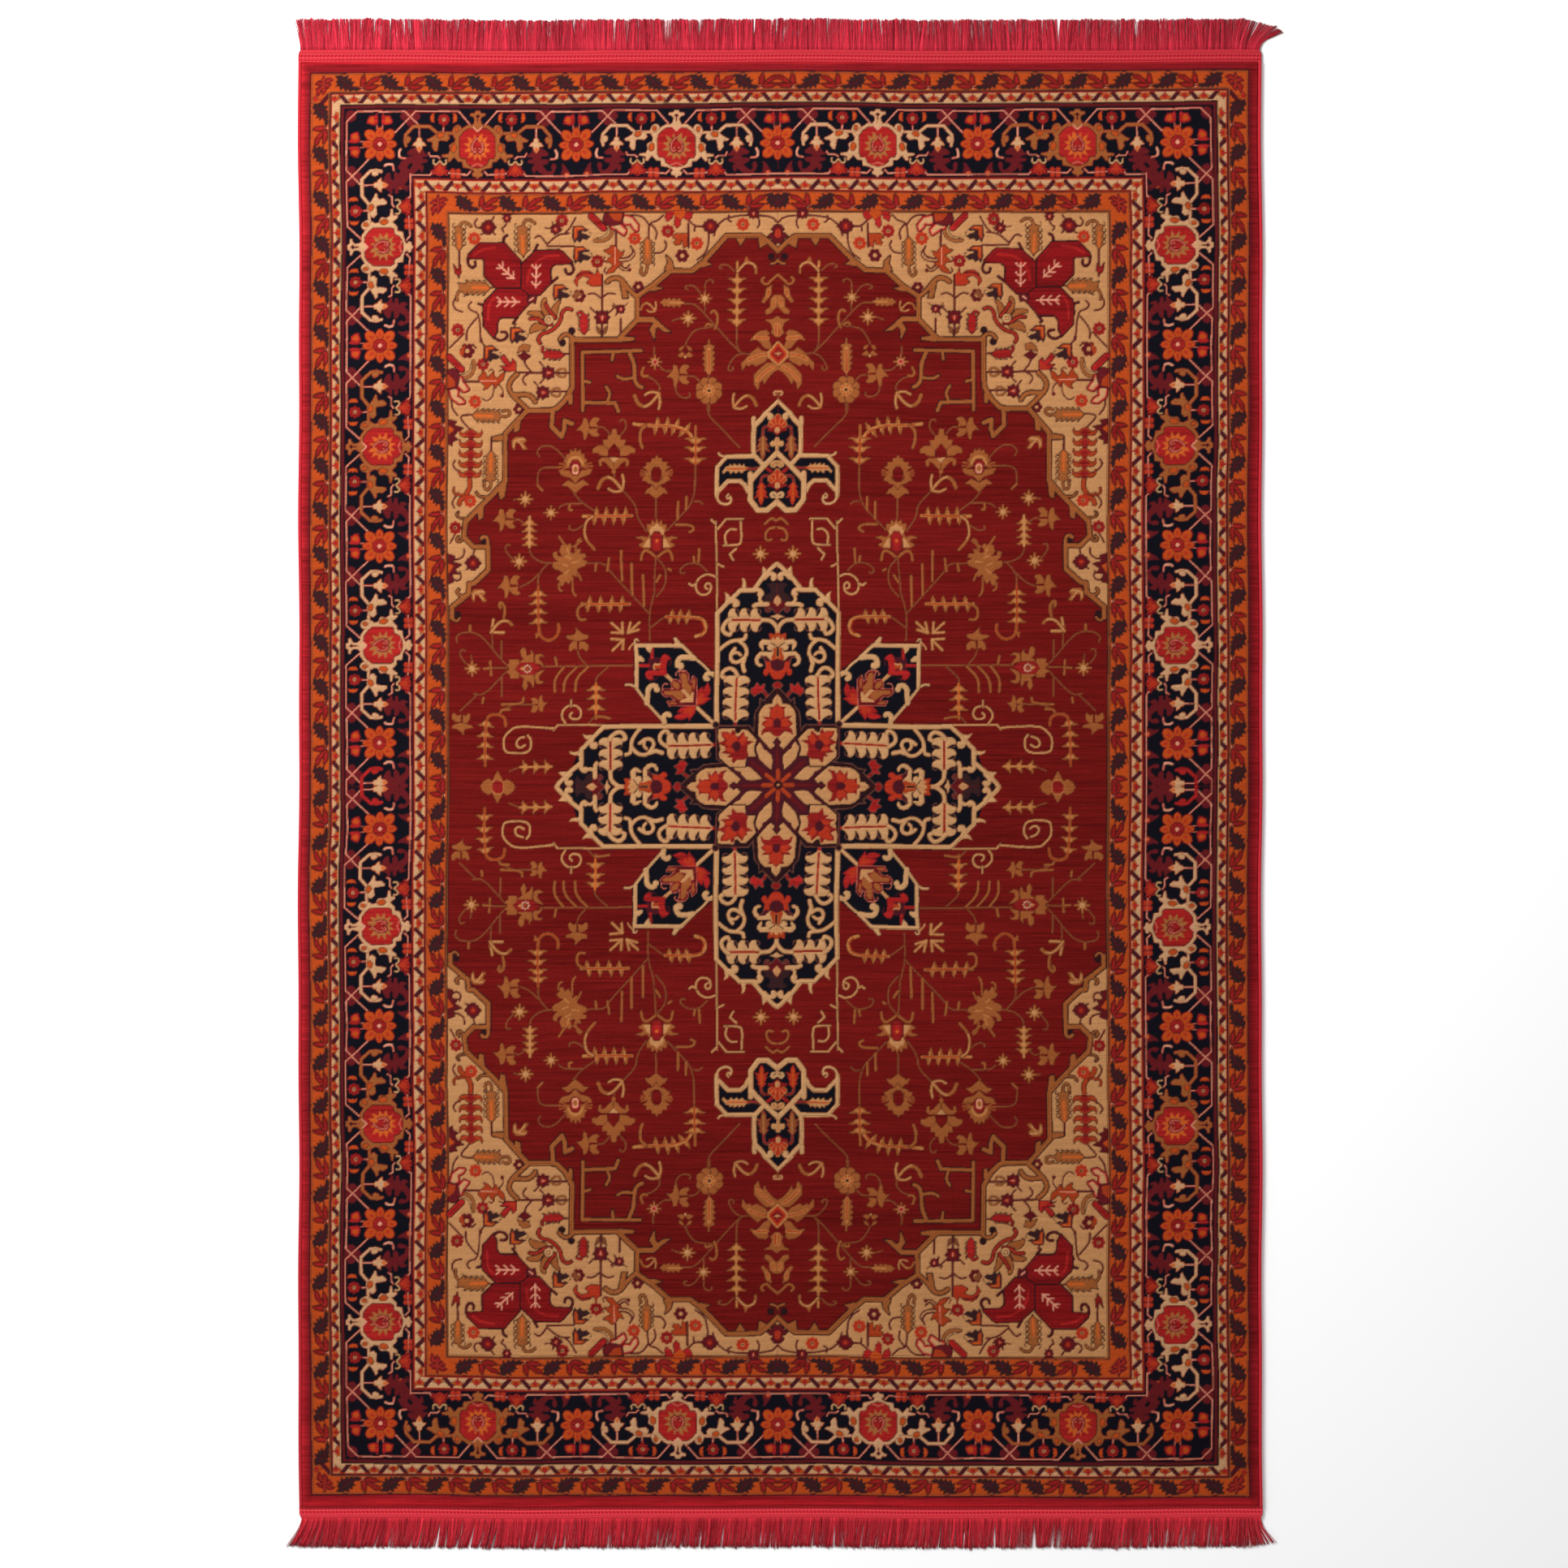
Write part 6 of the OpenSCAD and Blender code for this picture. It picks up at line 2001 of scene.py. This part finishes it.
def stitching(name, end, material):
    """Two rows of lock stitches through the tape."""
    low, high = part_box("tape_stitching_far")
    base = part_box("fringe_tape_far")[1][2] / MM
    places, faces = [], []
    shape = [(-0.5, 0.35), (-0.2, 0.75), (0.2, 0.75), (0.5, 0.35)]
    for y in (low[1] / MM + 0.6, high[1] / MM - 0.6):
        for x in np.arange(-HALF_W + 6, HALF_W - 10, STITCH):
            first = len(places)
            for along, swell in shape:
                for side, lift in ((-0.5, -0.7), (0.5, -0.7), (0.4, 0.75), (-0.4, 0.75)):
                    px, py = sway(x + 1.9 + along * 3.8, end * (y + side * 1.1 * swell))
                    places.append((px, py, base + 0.1 + lift * 0.5 * swell))
            rings = [[first + 4 * k + j for j in range(4)] for k in range(4)]
            for one, two in zip(rings[:-1], rings[1:]):
                for j in range(4):
                    quad = (one[j], one[(j + 1) % 4], two[(j + 1) % 4], two[j])
                    faces.append(quad if end > 0 else quad[::-1])
            faces.append(tuple(rings[0][::-1]) if end > 0 else tuple(rings[0]))
            faces.append(tuple(rings[-1]) if end > 0 else tuple(rings[-1][::-1]))
    return make(name, np.array(places) * MM, faces, material)


# Where the fringe has fallen open, mm from the middle, and by how much it leans away
GAPS = {
    1: [(-512, 3), (-342, 5), (-314, 6), (-232, 3), (250, 3), (366, 3), (420, 3), (572, 5), (590, 3)],
    -1: [(-700, 4), (-628, 4), (-540, 3), (-380, 3), (170, 3), (330, 3), (440, 4), (520, 5), (560, 4),
         (600, 5), (640, 3), (760, 4)],
}


# How each fringe lies, far (1) and near (-1): the lean of all its yarns and how much more
# its left side leans, mm; its share of the full length; the width of the right corner that
# splays, mm; the splay at the right and left corner, radians; and its colour
LAY = {
    1: {"lean": 1.0, "more": 0.0, "length": 1.0, "corner": 70, "right": 1.28, "left": 0.12,
        "tint": (212, 50, 68)},
    -1: {"lean": -6.0, "more": -6.0, "length": 0.94, "corner": 60, "right": 0.95, "left": 0.42,
         "tint": (226, 52, 66)},
}
YARN_R = 0.62  # radius of one fringe yarn, mm
YARN_PITCH = 1.05  # spacing of the yarns in a layer, mm
YARN_LAYERS = 3
OUTLET = 4.2  # height at which the yarns leave the tape, mm


def drift(rng, root, spots):
    """Random values from 0 to 1 that run on evenly from spot to spot along a fringe."""
    return np.interp(root, np.linspace(-HALF_W, HALF_W, spots), rng.random(spots))


def threads(end, seed):
    """Loose yarns of one fringe as one mesh of fine closed tubes: places, faces, colours."""
    rng = np.random.default_rng(seed)
    lay = LAY[end]
    rings = 8
    per_layer = round(2 * (HALF_W - 5) / YARN_PITCH)
    root = np.concatenate([np.linspace(-HALF_W + 5, HALF_W - 5, per_layer) + YARN_PITCH * k / YARN_LAYERS
                           for k in range(YARN_LAYERS)])
    root = np.clip(root + rng.normal(0, 0.35, root.size), -HALF_W + 4.5, HALF_W - 4.5)
    level = np.repeat(np.arange(YARN_LAYERS), per_layer)
    # three neighbours or so lie together as a strand, which leans, ends and shades as one
    strand = np.floor((root + HALF_W) / 3.2).astype(int) + 700 * level
    strand_lean, strand_length, strand_shade = rng.normal(size=(3, 700 * YARN_LAYERS))[:, strand]
    lean = 9.0 * (drift(rng, root, 60) - 0.5)
    lean += 6.0 * (drift(rng, root, 260) - 0.5)
    for place, amount in GAPS[end]:
        away = root - place
        lean += amount * np.sign(away) * np.exp(-np.abs(away) / 14)
    lean += 2.6 * strand_lean + rng.normal(0, 0.7, root.size)
    lean += lay["lean"] + lay["more"] * np.clip(-root / HALF_W, 0, 1)
    length = fringe_length * (1 + 0.024 * strand_length + 0.008 * rng.normal(size=root.size))
    length += 3.0 * (drift(rng, root, 150) - 0.5) + 4.0
    length *= lay["length"]
    # the corners fan out: angle at the tip in radians, growing towards the corner
    right = np.clip((root - (HALF_W - lay["corner"])) / 70, 0, 1)
    left = np.clip((-root - (HALF_W - 70)) / 70, 0, 1)
    fan = lay["right"] * right ** 1.6 - lay["left"] * left ** 1.4
    s = np.linspace(0, 1, rings)
    angle = fan[:, None] * np.clip(s * 1.8, 0, 1)[None, :]
    step = (length / (rings - 1))[:, None]
    dx = np.cumsum(np.concatenate([np.zeros((root.size, 1)), (np.sin(angle) * step)[:, 1:]], 1), 1)
    dy = np.cumsum(np.concatenate([np.zeros((root.size, 1)), (np.cos(angle) * step)[:, 1:]], 1), 1)
    wave = rng.normal(0, 0.5, (root.size, 1)) * np.sin(s * 5 + rng.random((root.size, 1)) * 6)
    px = root[:, None] + dx + lean[:, None] * s ** 1.3 + wave * s
    py = end * (HALF_L - 2.0 + dy)
    fall = np.exp(-s * 9)
    floor_gap = YARN_R + 0.8 * level[:, None] + 0.2 * rng.random((root.size, 1))
    drop = OUTLET - 0.4 * (2 - level[:, None]) - floor_gap
    pz = floor_gap + drop * fall + 0.25 * rng.random(px.shape) * (s > 0.1)
    # here and there the strands lie thin and the floor shows between them
    thin = drift(rng, root, 140) ** 4
    thin *= np.clip((930 - np.abs(root)) / 40, 0, 1)
    radius = YARN_R * (1 - 0.12 * s ** 3) * (1 - 0.75 * thin[:, None] * np.clip(2.2 * s - 0.3, 0, 1))
    corner = np.arange(4) * math.pi / 2 + math.pi / 4
    ring = np.empty(px.shape + (4, 3))
    ring[..., 0] = px[..., None] + radius[..., None] * np.cos(corner)
    ring[..., 1] = py[..., None] + 0.5 * radius[..., None] * np.cos(corner) * -np.sin(angle)[..., None]
    ring[..., 2] = pz[..., None] + radius[..., None] * np.sin(corner)
    ring[..., 2] = np.maximum(ring[..., 2], 0.12)
    sway_x, sway_y = sway(px, np.full(px.shape, end * HALF_L))
    ring[..., 1] += (sway_y - end * HALF_L)[..., None]
    ring[..., 0] += (sway_x - px)[..., None]
    count = root.size
    number = np.arange(count * rings * 4).reshape(count, rings, 4)
    ahead = np.roll(number, -1, 2)
    sides = np.stack([number[:, :-1], ahead[:, :-1], ahead[:, 1:], number[:, 1:]], -1).reshape(-1, 4)
    caps = np.concatenate([number[:, 0, ::-1], number[:, -1]])
    faces = np.concatenate([sides, caps])
    if end > 0:
        faces = faces[:, ::-1]
    tint = DYE * linear(lay["tint"])
    shade = np.clip(0.97 + 0.24 * strand_shade + rng.normal(0, 0.08, count), 0.4, 1.6)[:, None]
    # painted shade: the lower layers of yarn are painted darker, as shade under the layers above them; each
    # yarn also goes a little darker towards its tip
    shade = shade * (1.08 - 0.16 * s) * np.choose(level, (0.6, 0.85, 1.0))[:, None]
    colour = tint * shade[..., None, None] * np.ones((1, 1, 4, 1))
    return ring.reshape(-1, 3), faces, colour.reshape(-1, 3)


edge_material = yarn_material("edge_yarn", None, 1500.0, 0.5, 0.3, 0.8)
weave_material = yarn_material("weave_yarn", (104, 64, 52), 700.0, 0.6, 0.1)
coat_material = yarn_material("coated_back", (150, 126, 96), 320.0, 0.8, 0.05, 0.85)
stitch_material = yarn_material("stitch_thread", (216, 66, 76), 1800.0, 0.4, 0.25, 0.6)

weave = slab("ground_weave_cloth", PILE_W, HALF_L - 1.0, 0.8, WEAVE_TOP, 12.0, weave_material)
coat = slab("back_coating_layer", PILE_W - 1.5, HALF_L - 2.0, 0.05, 0.8, 8.0, coat_material, 0.1)
fringe_length = (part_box("fringe_far")[1][1] - HALF_L * MM) / MM
rug_parts = [(weave, "ground_weave", "weave_ground"), (coat, "back_coating", "coating_jute")]
for word, side in (("left", -1), ("right", 1)):
    rug_parts.append((overcast("overcast_" + word, side, edge_material), "binding_" + word, "edge_crimson"))
for word, end in (("far", 1), ("near", -1)):
    rug_parts.append((braid("braided_tape_" + word, end, edge_material), "fringe_tape_" + word,
                      "tape_crimson"))
    rug_parts.append((stitching("lock_stitches_" + word, end, stitch_material), "tape_stitching_" + word,
                      "stitch_crimson"))
for piece, node, slot_name in rug_parts:
    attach(piece, "rug")
    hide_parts(node)
for word, end in (("far", 1), ("near", -1)):
    places, faces, shades = threads(end, 20 + end)
    fringe = make("fringe_yarns_" + word, places * MM, faces, edge_material, shades)
    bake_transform(fringe)
    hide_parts("fringe_" + word)


# ------------------------------------------------------- floor, light, camera
FLOOR = 9  # half the floor's side, m
LAMP_AT, LAMP_SIZE, LAMP_POWER = (-2.8, 2.9, 3.6), 2.6, 430.0  # m, m and W
LENS, SENSOR = 100.0, 36.0  # mm
VIEW = 3.22  # side of the square that the camera takes in at the pile, m

floor_material = bpy.data.materials.new("studio_floor")
floor_material.use_nodes = True
floor_shader = floor_material.node_tree.nodes["Principled BSDF"]
floor_shader.inputs["Base Color"].default_value = (0.95, 0.95, 0.95, 1)
floor_shader.inputs["Roughness"].default_value = 0.9
floor = make("studio_floor", [(-FLOOR, -FLOOR, 0), (FLOOR, -FLOOR, 0), (FLOOR, FLOOR, 0),
                              (-FLOOR, FLOOR, 0)], [(0, 1, 2, 3)], floor_material, None, False)
floor.location.z = -0.0005

scene = bpy.context.scene
scene.view_settings.view_transform = "Standard"
world = bpy.data.worlds.new("studio")
world.use_nodes = True
world.node_tree.nodes["Background"].inputs["Color"].default_value = (1, 1, 1, 1)
world.node_tree.nodes["Background"].inputs["Strength"].default_value = 0.5
scene.world = world
lamp = bpy.data.lights.new("key", "AREA")
lamp.size = LAMP_SIZE
lamp.energy = LAMP_POWER
lamp_object = bpy.data.objects.new("key", lamp)
lamp_object.location = LAMP_AT
lamp_object.rotation_euler = (-Vector(LAMP_AT)).to_track_quat("-Z", "Y").to_euler()
scene.collection.objects.link(lamp_object)

camera_data = bpy.data.cameras.new("camera")
camera_data.sensor_width = SENSOR
camera_data.lens = LENS
camera_data.clip_end = 100.0
camera = bpy.data.objects.new("camera", camera_data)
camera.location = (0.0077, 0.0008, PILE_TOP * MM + VIEW * LENS / SENSOR)
scene.collection.objects.link(camera)
scene.camera = camera
